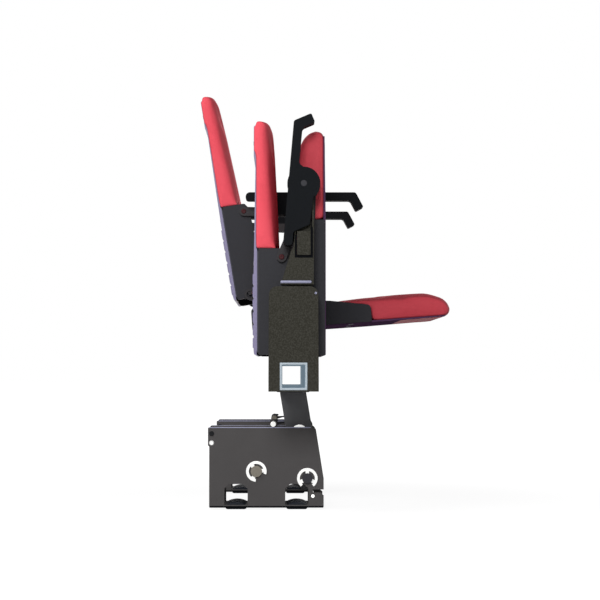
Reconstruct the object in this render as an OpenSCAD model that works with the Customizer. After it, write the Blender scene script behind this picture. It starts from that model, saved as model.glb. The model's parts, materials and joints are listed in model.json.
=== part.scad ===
// Folding stadium seat unit for a telescopic grandstand: two seats on one square beam.
// Millimetres, +Z up, X along the row, the sitter looks along -Y. The origin lies on the deck,
// in the middle of the four fixing bolts. Seat 0 is stored folded and seat 1 is open.
// Points in a side view are [y, z]. Pans are drawn folded about their hinge, and backs are drawn
// folded about the pin of their upper link.

/* [Row] */
// Overall width of the upholstered seat and back
seat_w = 438; // [420:1:438]
// Clearance between a seat's side and the stud heads of its links
seat_room = 1; // [0.5:0.1:6]
// Running clearance of a pin in its bore, on the radius
pin_gap = 0.05; // [0.02:0.01:0.09]
// Gap between faces that slide past each other
side_gap = 0.4; // [0.3:0.1:0.8]
// Gap between pieces that are assembled but don't move
fit_gap = 0.3; // [0.1:0.1:0.5]

/* [Beam] */
// Side of the square beam tube
beam_side = 51; // [45:1:55]
// Wall of the beam tube
beam_wall = 3; // [2:0.5:5]
// Height of the beam's middle above the deck
beam_z = 258; // [250:1:270]
// Place of the beam's middle, front to rear
beam_y = -51.6; // [-60:0.1:-45]

/* [Base box] */
// Outer width of a base box along the row
base_w = 130; // [110:2:160]
// Depth of a base box, front to rear
base_d = 222; // [210:1:240]
// Height of a base box's top above the deck
base_top = 158.5; // [155:0.5:162]
// Height of the side plates' lower edge above the deck
base_foot_z = 3.5; // [2:0.5:5]
// Sheet thickness of the base box
base_t = 4; // [3:0.5:5]
// Width of the flange folded in along the top of a side plate
flange_w = 25; // [12:1:28]
// Lean of the front edge, from the top corner to the foot
front_lean = 15.5; // [8:0.5:20]
// Height at which the front edge turns upright
front_turn_z = 60; // [50:1:80]
// How far the rear ear stands out behind the side plate
ear_out = 2.5; // [1:0.5:5]
// Height of the rear ear
ear_h = 37; // [30:1:50]
// Radius of the two cable holes in the rear ear
ear_hole_r = 4.6; // [3:0.1:6]

/* [Feet] */
// Distance between the front and rear fixing bolts
bolt_gap = 118; // [110:1:126]
// Radius of a fixing bolt's hole
bolt_hole_r = 5.5; // [4.5:0.5:6.5]
// Width of the arch over each foot, front to rear
arch_w = 45; // [43:1:50]
// Height of the arch's top above the deck
arch_z = 49; // [44:1:54]
// Width of a rubber foot, front to rear
foot_w = 41; // [36:1:42]
// Height of a rubber foot
foot_h = 19; // [16:1:24]
// Width of the steel strap that carries a foot
strap_w = 60; // [56:1:64]
// Thickness of that strap
strap_t = 5; // [4:0.5:6]

/* [Fold of the row] */
// How far the fold's pivot shaft lies behind the front edge of the base box
pivot_in = 31.7; // [27:0.1:36]
// Height of the pivot shaft
pivot_z = 60; // [56:0.5:66]
// Radius of the pivot shaft
pivot_r = 10; // [9:0.5:11]
// Place of the rear stop shaft, front to rear
stop_y = 19.6; // [12:0.1:24]
// Height of the stop shaft
stop_z = 73.5; // [70:0.5:80]
// Radius of the stop shaft
stop_r = 11; // [10:0.5:12]
// Length of shaft that stands out beyond a side plate
shaft_out = 5; // [4:0.5:8]
// Outer radius of a snap ring
clip_r = 20; // [18:0.5:22]
// Thickness of a snap ring
clip_t = 2; // [1.5:0.5:2.5]
// Width of the leg, front to rear
leg_w = 51; // [44:1:54]
// Width of the leg along the row
leg_x = 60; // [50:2:66]
// Thickness of the leg's side bars
leg_t = 8; // [6:1:10]
// Radius of the hand hole through the leg
leg_hole_r = 15; // [10:1:16]
// Height of the hand hole
leg_hole_z = 148; // [140:1:155]

/* [Latch] */
// Place of the latch lever's pin, front to rear
latch_y = -13; // [-16:0.5:-8]
// Height of the latch lever's pin
latch_z = 165; // [163:0.5:168]
// Radius of the latch lever's pin
latch_pin_r = 3; // [2.5:0.5:3.5]

/* [Stanchion] */
// Thickness of a stanchion along the row
post_w = 40; // [38:1:44]
// Width of the steel upright, front to rear
upright_w = 25; // [22:1:26]
// Thickness of the upright along the row
upright_t = 18; // [14:1:19]
// Height of the lower edge of the bracket cover
bracket_low = 230; // [222:1:231]
// Height of the top edge of the bracket cover
bracket_top = 424; // [420:1:428]
// Width of the bracket cover, front to rear
bracket_w = 91; // [84:1:94]
// Shadow gap round the upright in the stanchion cover
reveal = 2.8; // [2:0.2:3.4]
// Height of the floor of the upright's pocket
pocket_z = 479; // [474:1:484]
// Height of the upright's wide block
block_h = 44; // [30:1:44]

/* [Armrest] */
// Place of the armrest's pivot, front to rear
arm_y = -70.5; // [-72:0.5:-69]
// Height of the armrest's pivot
arm_z = 614.5; // [612:0.5:620]
// Radius of the armrest's pin
arm_pin_r = 6; // [5:0.5:7]
// Width of the armrest along the row
arm_w = 39; // [36:0.5:39]
// Height of the armrest's top above its pivot
arm_rise = 28.5; // [26:0.5:30]
// Thickness of the armrest's bar
arm_t = 17; // [15:0.5:17]
// Length of the bar ahead of the pivot, up to the bend
arm_front = 114; // [105:1:120]
// Length of the tail behind the pivot
arm_tail = 117; // [105:1:117]
// Length of the downturned nose
arm_nose = 35; // [28:1:40]
// Angle by which the nose turns down
arm_bend = 62; // [50:1:70]
// Radius of the hub round the pivot
arm_hub_r = 30.5; // [28:0.5:31]
// Swing of the armrest from level to stored
arm_swing = 85; // [80:1:86]

/* [Linkage] */
// Thickness of the hanger plates that carry the links
hanger_t = 4; // [3:0.5:4]
// Thickness of the links
link_t = 4; // [3:0.5:4]
// Width of a link
link_w = 19; // [17:0.5:20]
// Place of the upper link's pivot, front to rear
upper_y = -81.5; // [-83:0.5:-80]
// Height of the upper link's pivot
upper_z = 603; // [601:0.5:605]
// Length of the upper link between its pins
upper_len = 133; // [131:0.5:135]
// Fall of the upper link below level when folded
upper_fall = 67; // [66:0.5:68]
// Swing of the upper link from folded to open
upper_swing = 68.5; // [67:0.5:70]
// Rearward lean of the open back
back_lean = 9.5; // [9:0.5:11]
// Radius of the upper link's pins
upper_pin_r = 6; // [5:0.5:7]
// Radius of the guide pin in the lower link
guide_pin_r = 4; // [3:0.5:4]
// Play of the guide pin in the lower link's end
guide_play = 3; // [2.9:0.1:3.5]
// Turn of the lower link that shares the guide pin's play
guide_bias = 1.2; // [1:0.1:1.4]

/* [Seat pan] */
// Place of the pan's hinge, front to rear
hinge_y = -70; // [-72:0.5:-68]
// Height of the pan's hinge
hinge_z = 403; // [400:0.5:406]
// Radius of the hinge pins
hinge_pin_r = 6; // [5:0.5:7]
// Swing of the pan from folded to open
pan_swing = 86; // [84:0.5:88]
// Length of the pan behind its hinge
pan_rear = 106; // [100:1:108]
// Length of the pan ahead of its hinge
pan_front = 317; // [300:1:325]
// Distance from the hinge to the pan's underside
pan_under = 42; // [41:0.5:44]
// Thickness of the moulded shell under the pan
shell_t = 4.2; // [3.5:0.1:5.5]
// How far the shell stands proud of the skirts round it
shell_proud = 1.4; // [0.5:0.1:2.5]
// Thickness of the skirts that hang round the shell
skirt_t = 5; // [4:0.5:8]
// Crown of the cushion above the hinge line
pan_crown = 13.8; // [10:0.1:15]
// Length of the pan's side covers ahead of the hinge
pan_cover_front = 148; // [130:1:160]
// Width of a side cover along the row
cover_x = 38; // [34:1:42]
// Wall of the moulded side covers
cover_wall = 3; // [2:0.5:4]
// Thickness of the plywood boards
board_t = 10; // [8:1:12]

/* [Back] */
// Height of the back above its link pin
back_up = 255.5; // [240:0.5:262]
// Depth of the back below its link pin
back_down = 182.5; // [178:0.5:184]
// Distance from the link pin to the back's rear face
back_deep = 54.3; // [52:0.1:56]
// Height of the side covers' top edge above the link pin
back_cover_top = 16.5; // [14:0.5:20]
// How far a rib stands out on the rear shell
rib_h = 1.8; // [1:0.1:3]
// Distance from rib to rib
rib_gap = 24; // [18:1:25]
// Height of the groove between two ribs
rib_groove = 4.5; // [3:0.5:8]
// Shadow gap between a side cover and the rear shell
back_reveal = 2.3; // [1:0.1:3]

/* [Hidden] */
$fn = 64;
ARC_STEPS = 6;
EPS = 0.5;
// How far a link's straight flanks lie inside the tangents of its round ends
flank_in = 0.02;

// How far each seat is open and each armrest is stored, from 0 to 1
SEAT_OPEN = [0, 1];
ARM_STORED = [1, 0, 0];
SIDES = [-1, 1];

pivot = [pivot_in - base_d / 2, pivot_z];
stop = [stop_y, stop_z];
latch = [latch_y, latch_z];
beam = [beam_y, beam_z];
arm = [arm_y, arm_z];
upper = [upper_y, upper_z];
hinge = [hinge_y, hinge_z];

function polar(a) = [cos(a), sin(a)];
function turned(p, a) = [p[0] * cos(a) - p[1] * sin(a), p[0] * sin(a) + p[1] * cos(a)];
function bearing(p) = atan2(p[1], p[0]);
function unit(v) = v / norm(v);
function flat(p) = [p[0], p[1]];
function wrapped(a) = a > 180 ? a - 360 : a < -180 ? a + 360 : a;

// The arc that rounds one corner of an outline; a corner is [x, y] or [x, y, radius]
function corner(a, p, b) =
    let (r = is_undef(p[2]) ? 0 : p[2], u = unit(flat(a) - flat(p)), v = unit(flat(b) - flat(p)),
        half = acos(max(-1, min(1, u * v))) / 2)
    r <= 0 ? [flat(p)] :
    let (c = flat(p) + unit(u + v) * r / sin(half), s = flat(p) + u * r / tan(half),
        e = flat(p) + v * r / tan(half), a0 = bearing(s - c), sweep = wrapped(bearing(e - c) - a0))
    [for (i = [0:ARC_STEPS]) c + r * polar(a0 + sweep * i / ARC_STEPS)];
function rounded(pts) = let (n = len(pts))
    [for (i = [0:n - 1]) each corner(pts[(i + n - 1) % n], pts[i], pts[(i + 1) % n])];

// The corners of a counterclockwise outline moved inwards by d, with smaller radii
function cross2(u, v) = u[0] * v[1] - u[1] * v[0];
function crossing(p, u, q, v) = p + u * cross2(q - p, v) / cross2(u, v);
function inset(pts, d) = let (n = len(pts))
    [for (i = [0:n - 1])
        let (p = flat(pts[i]), u = unit(p - flat(pts[(i + n - 1) % n])),
            v = unit(flat(pts[(i + 1) % n]) - p), r = is_undef(pts[i][2]) ? 0 : pts[i][2],
            x = crossing(p + d * [-u[1], u[0]], u, p + d * [-v[1], v[0]], v))
        [x[0], x[1], max(r - d, 0)]];

// Positions that the linkage gives
lug = upper + upper_len * polar(-upper_fall);
guide_local = [15, -174];
guide_folded = lug + guide_local;
lug_open = upper + upper_len * polar(upper_swing - upper_fall);
guide_open = lug_open + turned(guide_local, -back_lean);
lower_len = norm(guide_folded - hinge);
lower_rest = bearing(guide_folded - hinge);
lower_swing = bearing(guide_open - hinge) - lower_rest;

// Layers between a stanchion and a seat, measured from the middle of the seat; the distance between
// the middles of neighbouring armrests follows from them
stud_head = 1.2;
link_stack = hanger_t + link_t + 2 * side_gap + stud_head;
pitch = seat_w + post_w + 2 * (link_stack + seat_room);
hanger_x = pitch / 2 - post_w / 2 - hanger_t;
link_x = hanger_x - side_gap - link_t;
half_seat = seat_w / 2;
cover_in = half_seat - cover_x;

base_half = base_w / 2;
base_front = -base_d / 2;
base_rear = base_d / 2;
foot_y = bolt_gap / 2;
beam_len = 2 * pitch + post_w;
groove_r = 7.5;
arm_under = arm_rise - arm_t;

METAL_GREY = "#4c4a4a";
LEG_GREY = "#3a3a3c";
TEXTURED = "#3a3834";
BLACK = "#1c1d21";
PANEL = "#3a3a3d";
RED = "#d83a50";
SILVER = "#c5d2dc";
ZINC = "#e8e8e6";
WOOD = "#c9a978";
STEEL = "#8f9296";

// ---------------------------------------------------------------- placing
module side_view(x0, x1) {
    // Extrudes a side view, drawn in [y, z], from x0 to x1 along the row
    translate([x0, 0, 0]) rotate([90, 0, 90]) linear_extrude(x1 - x0) children();
}
module both_sides() { for (s = SIDES) scale_x(s) children(); }
module scale_x(s) { if (s > 0) children(); else mirror([1, 0, 0]) children(); }
module at_base(i) { translate([(i - 0.5) * pitch, 0, 0]) children(); }
module at_seat(i) { translate([(i - 0.5) * pitch, 0, 0]) children(); }
module at_stanchion(k) { translate([(k - 1) * pitch, 0, 0]) children(); }
module at_point(p, a = 0) { translate([0, p[0], p[1]]) rotate([a, 0, 0]) children(); }
module rod(r, x0, x1) { translate([x0, 0, 0]) rotate([0, 90, 0]) cylinder(r = r, h = x1 - x0); }
module strap(p, q, rp, rq) {
    // A flat link outline: two round ends joined by flanks that lie a hair inside their common tangents
    a = bearing(q - p);
    f = acos((rp - rq) / norm(q - p));
    sp = rp - flank_in;
    sq = rq - flank_in;
    translate(p) circle(rp);
    translate(q) circle(rq);
    polygon([p + sp * polar(a + f), q + sq * polar(a + f), q + sq * polar(a - f), p + sp * polar(a - f)]);
}
module on_pan(i) { at_seat(i) at_point(hinge, SEAT_OPEN[i] * pan_swing) children(); }
module on_back(i) {
    at_seat(i) at_point(upper, SEAT_OPEN[i] * upper_swing) at_point(lug - upper)
        rotate([-SEAT_OPEN[i] * (upper_swing + back_lean), 0, 0]) children();
}

// ---------------------------------------------------------------- base
side_plate_outline = [
    [base_front, base_foot_z, 2], [base_rear, base_foot_z, 2],
    [base_rear, base_top - ear_h], [base_rear + ear_out, base_top - ear_h + ear_out],
    [base_rear + ear_out, base_top, 2], [base_front + front_lean, base_top, 6],
    [base_front, front_turn_z]];
notch_z = 32.5;
notch_h = 6;
notch_deep = 6;
slit_len = 15;
small_hole_r = 3.4;
ear_hole_drop = [12, 30];

module arch() {
    // Cut-out over a foot, with its top corners cut off
    chamfer = 9;
    polygon([[-arch_w / 2, 0], [arch_w / 2, 0], [arch_w / 2, arch_z - chamfer],
        [arch_w / 2 - chamfer, arch_z], [chamfer - arch_w / 2, arch_z], [-arch_w / 2, arch_z - chamfer]]);
}
module side_plate() {
    difference() {
        polygon(rounded(side_plate_outline));
        for (s = SIDES) translate([s * foot_y, 0]) arch();
        translate(pivot) circle(pivot_r + pin_gap);
        translate(stop) circle(stop_r + pin_gap);
        for (d = ear_hole_drop) translate([base_rear - ear_hole_r, base_top - d]) circle(ear_hole_r);
        translate([base_front + notch_deep, notch_z]) square([slit_len, notch_h]);
        polygon([[base_front - EPS, notch_z - notch_deep], [base_front + notch_deep, notch_z],
            [base_front + notch_deep, notch_z + notch_h], [base_front - EPS, notch_z + notch_h]]);
        translate([base_front + notch_deep + slit_len, notch_z - 2 * small_hole_r + EPS])
            circle(small_hole_r);
    }
}
latch_ear_r = 7;
wall_y = base_rear - 18;
wall_low = 30;
wall_top = base_top - base_t - fit_gap;
wall_half = base_half - base_t - fit_gap;
module housing(i) {
    // Folded sheet box, open at the top and the front for the leg, with a plate for its rear wall
    color(METAL_GREY) at_base(i) {
        difference() {
            union() {
                both_sides() {
                    side_view(base_half - base_t, base_half) side_plate();
                    translate([base_half - flange_w, base_front + front_lean + 8, base_top - base_t])
                        cube([flange_w, base_d - front_lean - 8, base_t]);
                    side_view(base_half - 2 * base_t, base_half - base_t)
                        strap(latch, latch - [0, 14], latch_ear_r, latch_ear_r);
                }
                for (s = SIDES) translate([-base_half, s * foot_y - strap_w / 2, base_foot_z])
                    cube([base_w, strap_w, strap_t]);
            }
            for (s = SIDES) translate([0, s * foot_y, -EPS]) {
                cylinder(r = bolt_hole_r, h = base_top / 2);
                for (t = SIDES) translate([t * stem_x, 0, 0])
                    cylinder(r = stem_r + pin_gap, h = base_top / 2);
            }
            at_point(latch) rod(latch_pin_r + pin_gap, -base_w, base_w);
        }
        translate([-wall_half, wall_y, wall_low]) cube([2 * wall_half, base_t, wall_top - wall_low]);
    }
}
stem_r = 8;
stem_x = 38;
foot_len = base_w - 2 * base_t - 2;
module foot_outline() {
    // Domed rubber pad, seen from the side
    dome = 8;
    rise = foot_h - dome;
    r = (foot_w * foot_w / 4 + dome * dome) / (2 * dome);
    half = asin(foot_w / 2 / r);
    side = foot_w / 2;
    polygon(concat(rounded([[-side, rise], [-side, 0, 5], [side, 0, 5], [side, rise]]),
        [for (i = [1:7]) [0, foot_h - r] + r * polar(90 - half + 2 * half * i / 8)]));
}
module feet(i) {
    // Rubber pads buttoned through the straps, each with a bolt hole
    color(BLACK) at_base(i) for (s = SIDES) translate([0, s * foot_y, 0]) difference() {
        union() {
            difference() {
                side_view(-foot_len / 2, foot_len / 2) foot_outline();
                translate([-base_w / 2, -strap_w / 2, base_foot_z]) cube([base_w, strap_w, strap_t]);
            }
            for (t = SIDES) translate([t * stem_x, 0, foot_z_in]) cylinder(r = stem_r, h = foot_z_out);
        }
        translate([0, 0, -EPS]) cylinder(r = bolt_hole_r, h = foot_h + 2 * EPS);
    }
}
foot_z_in = 2;
foot_z_out = 10;
module shaft(p, r) {
    // Shaft through both side plates, with a groove for a snap ring at each end
    at_point(p) difference() {
        rod(r, -base_half - shaft_out, base_half + shaft_out);
        both_sides() difference() {
            rod(r + EPS, base_half + pin_gap, base_half + clip_t + 2 * pin_gap);
            rod(groove_r, base_half, base_half + 2 * clip_t);
        }
    }
}
module pivot_shaft(i) { color(STEEL) at_base(i) shaft(pivot, pivot_r); }
module stop_shaft(i) { color(STEEL) at_base(i) shaft(stop, stop_r); }
module snap_ring(open_at) {
    // Open ring with three lugs that grip the groove
    ring_w = 5.6;
    lug_w = 7;
    mouth = 38;
    rotate(open_at) difference() {
        union() {
            difference() {
                circle(clip_r);
                circle(clip_r - ring_w);
            }
            for (a = [180, 62, -62]) rotate(a) translate([groove_r, -lug_w / 2])
                square([clip_r - groove_r - ring_w / 2, lug_w]);
        }
        circle(groove_r + pin_gap);
        polygon([[0, 0], 2 * clip_r * polar(-mouth), 2 * clip_r * polar(mouth)]);
    }
}
PIVOT_MOUTH = -90;
STOP_MOUTH = -125;
module snap_rings(i) {
    color(ZINC) at_base(i) both_sides()
        side_view(base_half + pin_gap, base_half + pin_gap + clip_t) {
            translate(pivot) snap_ring(PIVOT_MOUTH);
            translate(stop) snap_ring(STOP_MOUTH);
        }
}
module latch_pin(i) {
    color(ZINC) at_base(i) at_point(latch) {
        rod(latch_pin_r, -base_half - 2, base_half + 2);
        both_sides() rod(latch_ring_r, base_half + side_gap, base_half + 2);
    }
}
latch_ring_r = 5.3;
lever_x = 20;
knob = [-4.8, 11];
knob_r = 4.5;
nose_r = 3;
module latch_lever(i) {
    // Spring lever behind the leg: a hub on the pin, a thumb knob and a nose against the leg
    across = unit(leg_head - pivot);
    ahead = [-across[1], across[0]];
    nose = ((pivot - latch) * ahead - leg_w / 2 - nose_r - side_gap) * ahead;
    color(BLACK) at_base(i) at_point(latch) difference() {
        union() {
            rod(latch_ear_r, -lever_x / 2, lever_x / 2);
            at_point(knob) rod(knob_r, -lever_x / 2, lever_x / 2);
            at_point(nose) rod(nose_r, -lever_x / 2, lever_x / 2);
            side_view(-lever_x / 2, lever_x / 2) {
                polygon([[-5, 0], [3, 2], knob + [knob_r - 1, 0], knob - [knob_r - 1, 0]]);
                polygon([5 * across, nose + (nose_r - 0.5) * across,
                    nose - (nose_r - 0.5) * across, -5 * across]);
            }
        }
        rod(latch_pin_r + pin_gap, -base_w, base_w);
    }
}

// ---------------------------------------------------------------- row frame
module beam_tube() {
    color(SILVER) at_point(beam) translate([-beam_len / 2, 0, 0]) rotate([90, 0, 90])
        linear_extrude(beam_len) difference() {
            square(beam_side, center = true);
            square(beam_side - 2 * beam_wall, center = true);
        }
}
saddle_t = 6;
saddle_len = 100;
heel_r = 12;
heel_bearing = 115;
heel = stop + (stop_r + heel_r + fit_gap) * polar(heel_bearing);
leg_head = beam - [0, beam_side / 2 + saddle_t];
module leg_side() {
    difference() {
        union() {
            strap(pivot, leg_head, leg_w / 2, leg_w / 2);
            strap(pivot, heel, leg_w / 2, heel_r);
        }
        translate([beam_y - leg_w, leg_head[1]]) square([2 * leg_w, leg_w]);
        translate(pivot) circle(pivot_r + pin_gap);
        translate(pivot + (leg_head - pivot) * (leg_hole_z - pivot_z) / (leg_head - pivot)[1])
            circle(leg_hole_r);
    }
}
module leg(i) {
    // Two side bars that turn on the pivot shaft and carry the saddle
    color(LEG_GREY) at_base(i) both_sides() side_view(leg_x / 2 - leg_t, leg_x / 2) leg_side();
}
module leg_core(i) {
    // A bored boss and a web between the side bars, and a saddle for the beam on top of them
    inner = leg_x / 2 - leg_t;
    color(LEG_GREY) at_base(i) {
        at_point(pivot) difference() {
            rod(pivot_r + leg_t, -inner, inner);
            rod(pivot_r + pin_gap, -leg_x, leg_x);
        }
        at_point(pivot, bearing(leg_head - pivot) - 90)
            translate([-inner, leg_w / 2 - leg_t, leg_web_low]) cube([2 * inner, leg_t, leg_web_high]);
        at_point(beam) difference() {
            translate([-saddle_len / 2, -beam_side / 2 - saddle_t, -beam_side / 2 - saddle_t])
                cube([saddle_len, beam_side + 2 * saddle_t, beam_side * 0.7]);
            translate([-saddle_len, -beam_side / 2, -beam_side / 2])
                cube([2 * saddle_len, beam_side, beam_side]);
        }
    }
}
leg_web_low = 118;
leg_web_high = 52;

// ---------------------------------------------------------------- stanchions
clamp_t = 6;
clamp_x = 15;
module upright(k) {
    // Steel post with a clamp over the beam, a wide block for the hangers and a round top
    color(STEEL) at_stanchion(k) difference() {
        union() {
            side_view(-upright_t / 2, upright_t / 2) {
                translate([arm_y - upright_w / 2, beam_z + beam_side / 2])
                    square([upright_w, arm_z - beam_z - beam_side / 2]);
                translate(arm) circle(upright_w / 2);
            }
            translate([-post_w / 2, arm_y - upright_w / 2, pocket_z + reveal])
                cube([post_w, upright_w, block_h]);
            translate([-clamp_x, beam_y - beam_side / 2 - clamp_t, beam_z - beam_side / 2])
                cube([2 * clamp_x, beam_side + 2 * clamp_t, beam_side + clamp_t]);
        }
        translate([-post_w, beam_y - beam_side / 2, beam_z - beam_side])
            cube([2 * post_w, beam_side, beam_side * 1.5]);
        at_point(arm) rod(arm_pin_r + pin_gap, -post_w, post_w);
    }
}
bracket_flare = 1;
module bracket(k) {
    // Textured cover round the beam and the foot of the upright
    front = beam_y - bracket_w / 2;
    rear = beam_y + bracket_w / 2;
    corner_r = 16;
    color(TEXTURED) at_stanchion(k) difference() {
        side_view(-post_w / 2, post_w / 2) polygon(rounded([
            [front - bracket_flare, bracket_low, 1], [rear + bracket_flare, bracket_low, 1],
            [rear, bracket_top, corner_r], [front, bracket_top, corner_r]]));
        at_point(beam) translate([-post_w, -beam_side / 2, -beam_side / 2])
            cube([2 * post_w, beam_side, beam_side]);
        translate([-clamp_x - fit_gap, beam_y - beam_side / 2 - clamp_t - fit_gap, bracket_low - EPS])
            cube([2 * (clamp_x + fit_gap), beam_side + 2 * (clamp_t + fit_gap),
                beam_z + beam_side / 2 + clamp_t + fit_gap - bracket_low + EPS]);
        translate([-upright_t / 2 - fit_gap, arm_y - upright_w / 2 - fit_gap, beam_z])
            cube([upright_t + 2 * fit_gap, upright_w + 2 * fit_gap, bracket_top]);
    }
}
cover_low = 427.5;
cover_front = -89;
cover_thin = post_w / 2 - 2;
cover_rear_low = -28;
cover_rear_mid = [-46.5, 488];
cover_rear_top = [-51.5, 497.5];
cover_step = arm_z - 89.5;
cover_strip_top = arm_z - arm_hub_r;
strip_wide_top = arm_z - 50;
module stanchion(k) {
    // Moulded cover above the bracket: a pocket for the upright, open at the top
    pocket_front = arm_y - upright_w / 2 - reveal;
    pocket_rear = arm_y + upright_w / 2 + reveal;
    color(TEXTURED) at_stanchion(k) difference() {
        union() {
            side_view(-cover_thin, cover_thin) difference() {
                polygon(rounded([[cover_front, cover_low], [cover_rear_low, cover_low],
                    cover_rear_mid, cover_rear_top, [pocket_rear + 1.2, cover_step],
                    [pocket_rear, cover_step], [pocket_rear, pocket_z], [pocket_front, pocket_z],
                    [pocket_front, strip_wide_top], [cover_front, strip_wide_top]]));
            }
            // The front strip ends in a tongue that fits between the armrest's cheeks
            side_view(-upright_t / 2, upright_t / 2) polygon([[cover_front, strip_wide_top - EPS],
                [pocket_front, strip_wide_top - EPS], [pocket_front, cover_strip_top],
                [cover_front, cover_strip_top]]);
            both_sides() translate([0, cover_front + 4, 0]) rotate([-90, 0, 0])
                linear_extrude(cover_rear_low - cover_front - 6)
                    polygon([[cover_thin - 4, -cover_low], [post_w / 2, -cover_low],
                        [cover_thin, -cover_low - 8], [cover_thin - 4, -cover_low - 8]]);
            translate([-upright_t / 2 - 3, arm_y - upright_w / 2 - 3, bracket_top])
                cube([upright_t + 6, upright_w + 6, cover_low - bracket_top + EPS]);
        }
        translate([-upright_t / 2 - fit_gap, arm_y - upright_w / 2 - fit_gap, bracket_low])
            cube([upright_t + 2 * fit_gap, upright_w + 2 * fit_gap, pocket_z]);
    }
}
module arm_pin(k) {
    color(STEEL) at_stanchion(k) at_point(arm) rod(arm_pin_r, -arm_w / 2, arm_w / 2);
}
module hangers(i) {
    // Plates on both sides of the seat, with a stud for the upper link and a pin for the pan
    stud_r = 9.5;
    color(STEEL) at_seat(i) both_sides() {
        side_view(hanger_x, hanger_x + hanger_t) strap(hinge, upper, 17, 12);
        at_point(upper) {
            rod(upper_pin_r, link_x - side_gap, hanger_x + EPS);
            rod(stud_r, link_x - side_gap - stud_head, link_x - side_gap);
        }
        at_point(hinge) rod(hinge_pin_r, hinge_in, hanger_x + EPS);
    }
}
hinge_in = half_seat - 22;

// ---------------------------------------------------------------- armrests
module arm_outline() {
    // Side view about the pivot, drawn level, with the nose towards -y
    tip = [-arm_front, arm_rise] + arm_nose * [-cos(arm_bend), -sin(arm_bend)];
    low = tip + (arm_t + 1) * [sin(arm_bend), -cos(arm_bend)];
    elbow = low + (arm_under - low[1]) / sin(arm_bend) * [cos(arm_bend), sin(arm_bend)];
    polygon(rounded([[arm_tail, arm_under, 6], [arm_tail, arm_rise, 9], [-arm_front, arm_rise, 6],
        [tip[0], tip[1], 3], [low[0], low[1], 3], [elbow[0], elbow[1], 8],
        [-arm_hub_r - 5, arm_under, 8], [-24, -6], [18, -20], [75, -17.5, 5], [91, arm_under, 4]]));
    circle(arm_hub_r);
}
module armrest(k) {
    // Moulded armrest whose cheeks straddle the top of the upright
    slot = upright_t / 2 + side_gap;
    clear = upright_w / 2 + side_gap;
    color(BLACK) at_stanchion(k) at_point(arm, -ARM_STORED[k] * arm_swing) difference() {
        side_view(-arm_w / 2, arm_w / 2) arm_outline();
        translate([-slot, -clear - EPS, -2 * arm_tail])
            cube([2 * slot, 3 * arm_tail, 2 * arm_tail + arm_under - side_gap]);
        rod(clear, -slot, slot);
        translate([-slot, 0, 0]) cube([2 * slot, 2 * clear, clear + side_gap]);
        rod(arm_pin_r + pin_gap, -arm_w, arm_w);
    }
}

// ---------------------------------------------------------------- links
module upper_links(i) {
    color(LEG_GREY) at_seat(i) at_point(upper, SEAT_OPEN[i] * upper_swing) both_sides() difference() {
        side_view(link_x, link_x + link_t) strap([0, 0], lug - upper, link_w / 2, link_w / 2);
        rod(upper_pin_r + pin_gap, 0, pitch);
        at_point(lug - upper) rod(upper_pin_r + pin_gap, 0, pitch);
    }
}
module lower_links(i) {
    end = guide_folded - hinge;
    turn = SEAT_OPEN[i] * lower_swing - guide_bias;
    color(LEG_GREY) at_seat(i) at_point(hinge, turn) both_sides() difference() {
        side_view(link_x, link_x + link_t) strap([0, 0], end, 12, 12);
        rod(hinge_pin_r + pin_gap, 0, pitch);
        at_point(end) rod(guide_pin_r + guide_play, 0, pitch);
    }
}

// ---------------------------------------------------------------- seat pan, folded about its hinge
pan_shell_top = shell_t - pan_under;
pan_board_low = pan_shell_top + 3.5;
pan_board_top = pan_board_low + board_t;
board_room = 2;
board_edge = 26;
board_half = half_seat - 14;
board_half_in = half_seat - cover_wall - 1;
skirt_low = shell_proud - pan_under;
shell_half = half_seat - skirt_t;
shell_front = pan_front - 12;
pan_cover_outline = [
    [skirt_low, -pan_rear, 3], [6, -pan_rear, 10], [9, -60, 20], [14, -20, 8], [14, 20, 8],
    [9.7, 62, 20], [-4.2, pan_cover_front - 4, 8], [-10, pan_cover_front, 3],
    [skirt_low, pan_cover_front, 2]];
pan_cushion_outline = [
    [skirt_low, 0], [skirt_low, -pan_rear + 3], [4, -pan_rear + 3, 8], [6, 0, 60], [8, 72, 60],
    [pan_crown - 0.2, 119, 60], [pan_crown, 190, 80], [pan_crown - 0.2, pan_front - 45, 25],
    [-3, pan_front - 8, 25], [-16, pan_front, 10], [-33, pan_front, 5], [-36.8, pan_front - 11, 6],
    [skirt_low, 150, 60]];
module shell_room() {
    // Room for the shell between the skirts
    translate([-shell_half - fit_gap, -pitch + pan_shell_top + fit_gap, -pitch])
        cube([2 * (shell_half + fit_gap), pitch, pitch + shell_front + fit_gap]);
}
module pan_shell(i) {
    color(PANEL) on_pan(i) {
        side_view(-shell_half, shell_half) polygon(rounded([
            [pan_shell_top, -pan_rear, 0.8], [pan_shell_top, shell_front, 0.5],
            [2 - pan_under, shell_front, 1.2], [-pan_under, 150, 80], [-pan_under, -pan_rear, 2.5]]));
        for (s = [-100, 0, 100]) translate([s - 3, pan_shell_top - EPS, 20 - pan_rear])
            cube([6, pan_board_low - pan_shell_top + EPS, pan_front]);
    }
}
module pan_board(i) {
    // Plywood, wide inside the side covers and in the front, waisted where it passes their ends
    inner_end = pan_cover_front - cover_wall - board_room;
    color(WOOD) on_pan(i) translate([0, pan_board_low, 0]) {
        translate([-board_half_in, 0, board_room + cover_wall - pan_rear])
            cube([2 * board_half_in, board_t, inner_end + pan_rear - board_room - cover_wall]);
        translate([board_room - cover_in, 0, 0])
            cube([2 * (cover_in - board_room), board_t, pan_cover_front + 10]);
        translate([-board_half, 0, pan_cover_front + board_room])
            cube([2 * board_half, board_t, pan_front - board_edge - pan_cover_front - board_room]);
    }
}
block_rear = 30;
block_front = 60;
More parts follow.
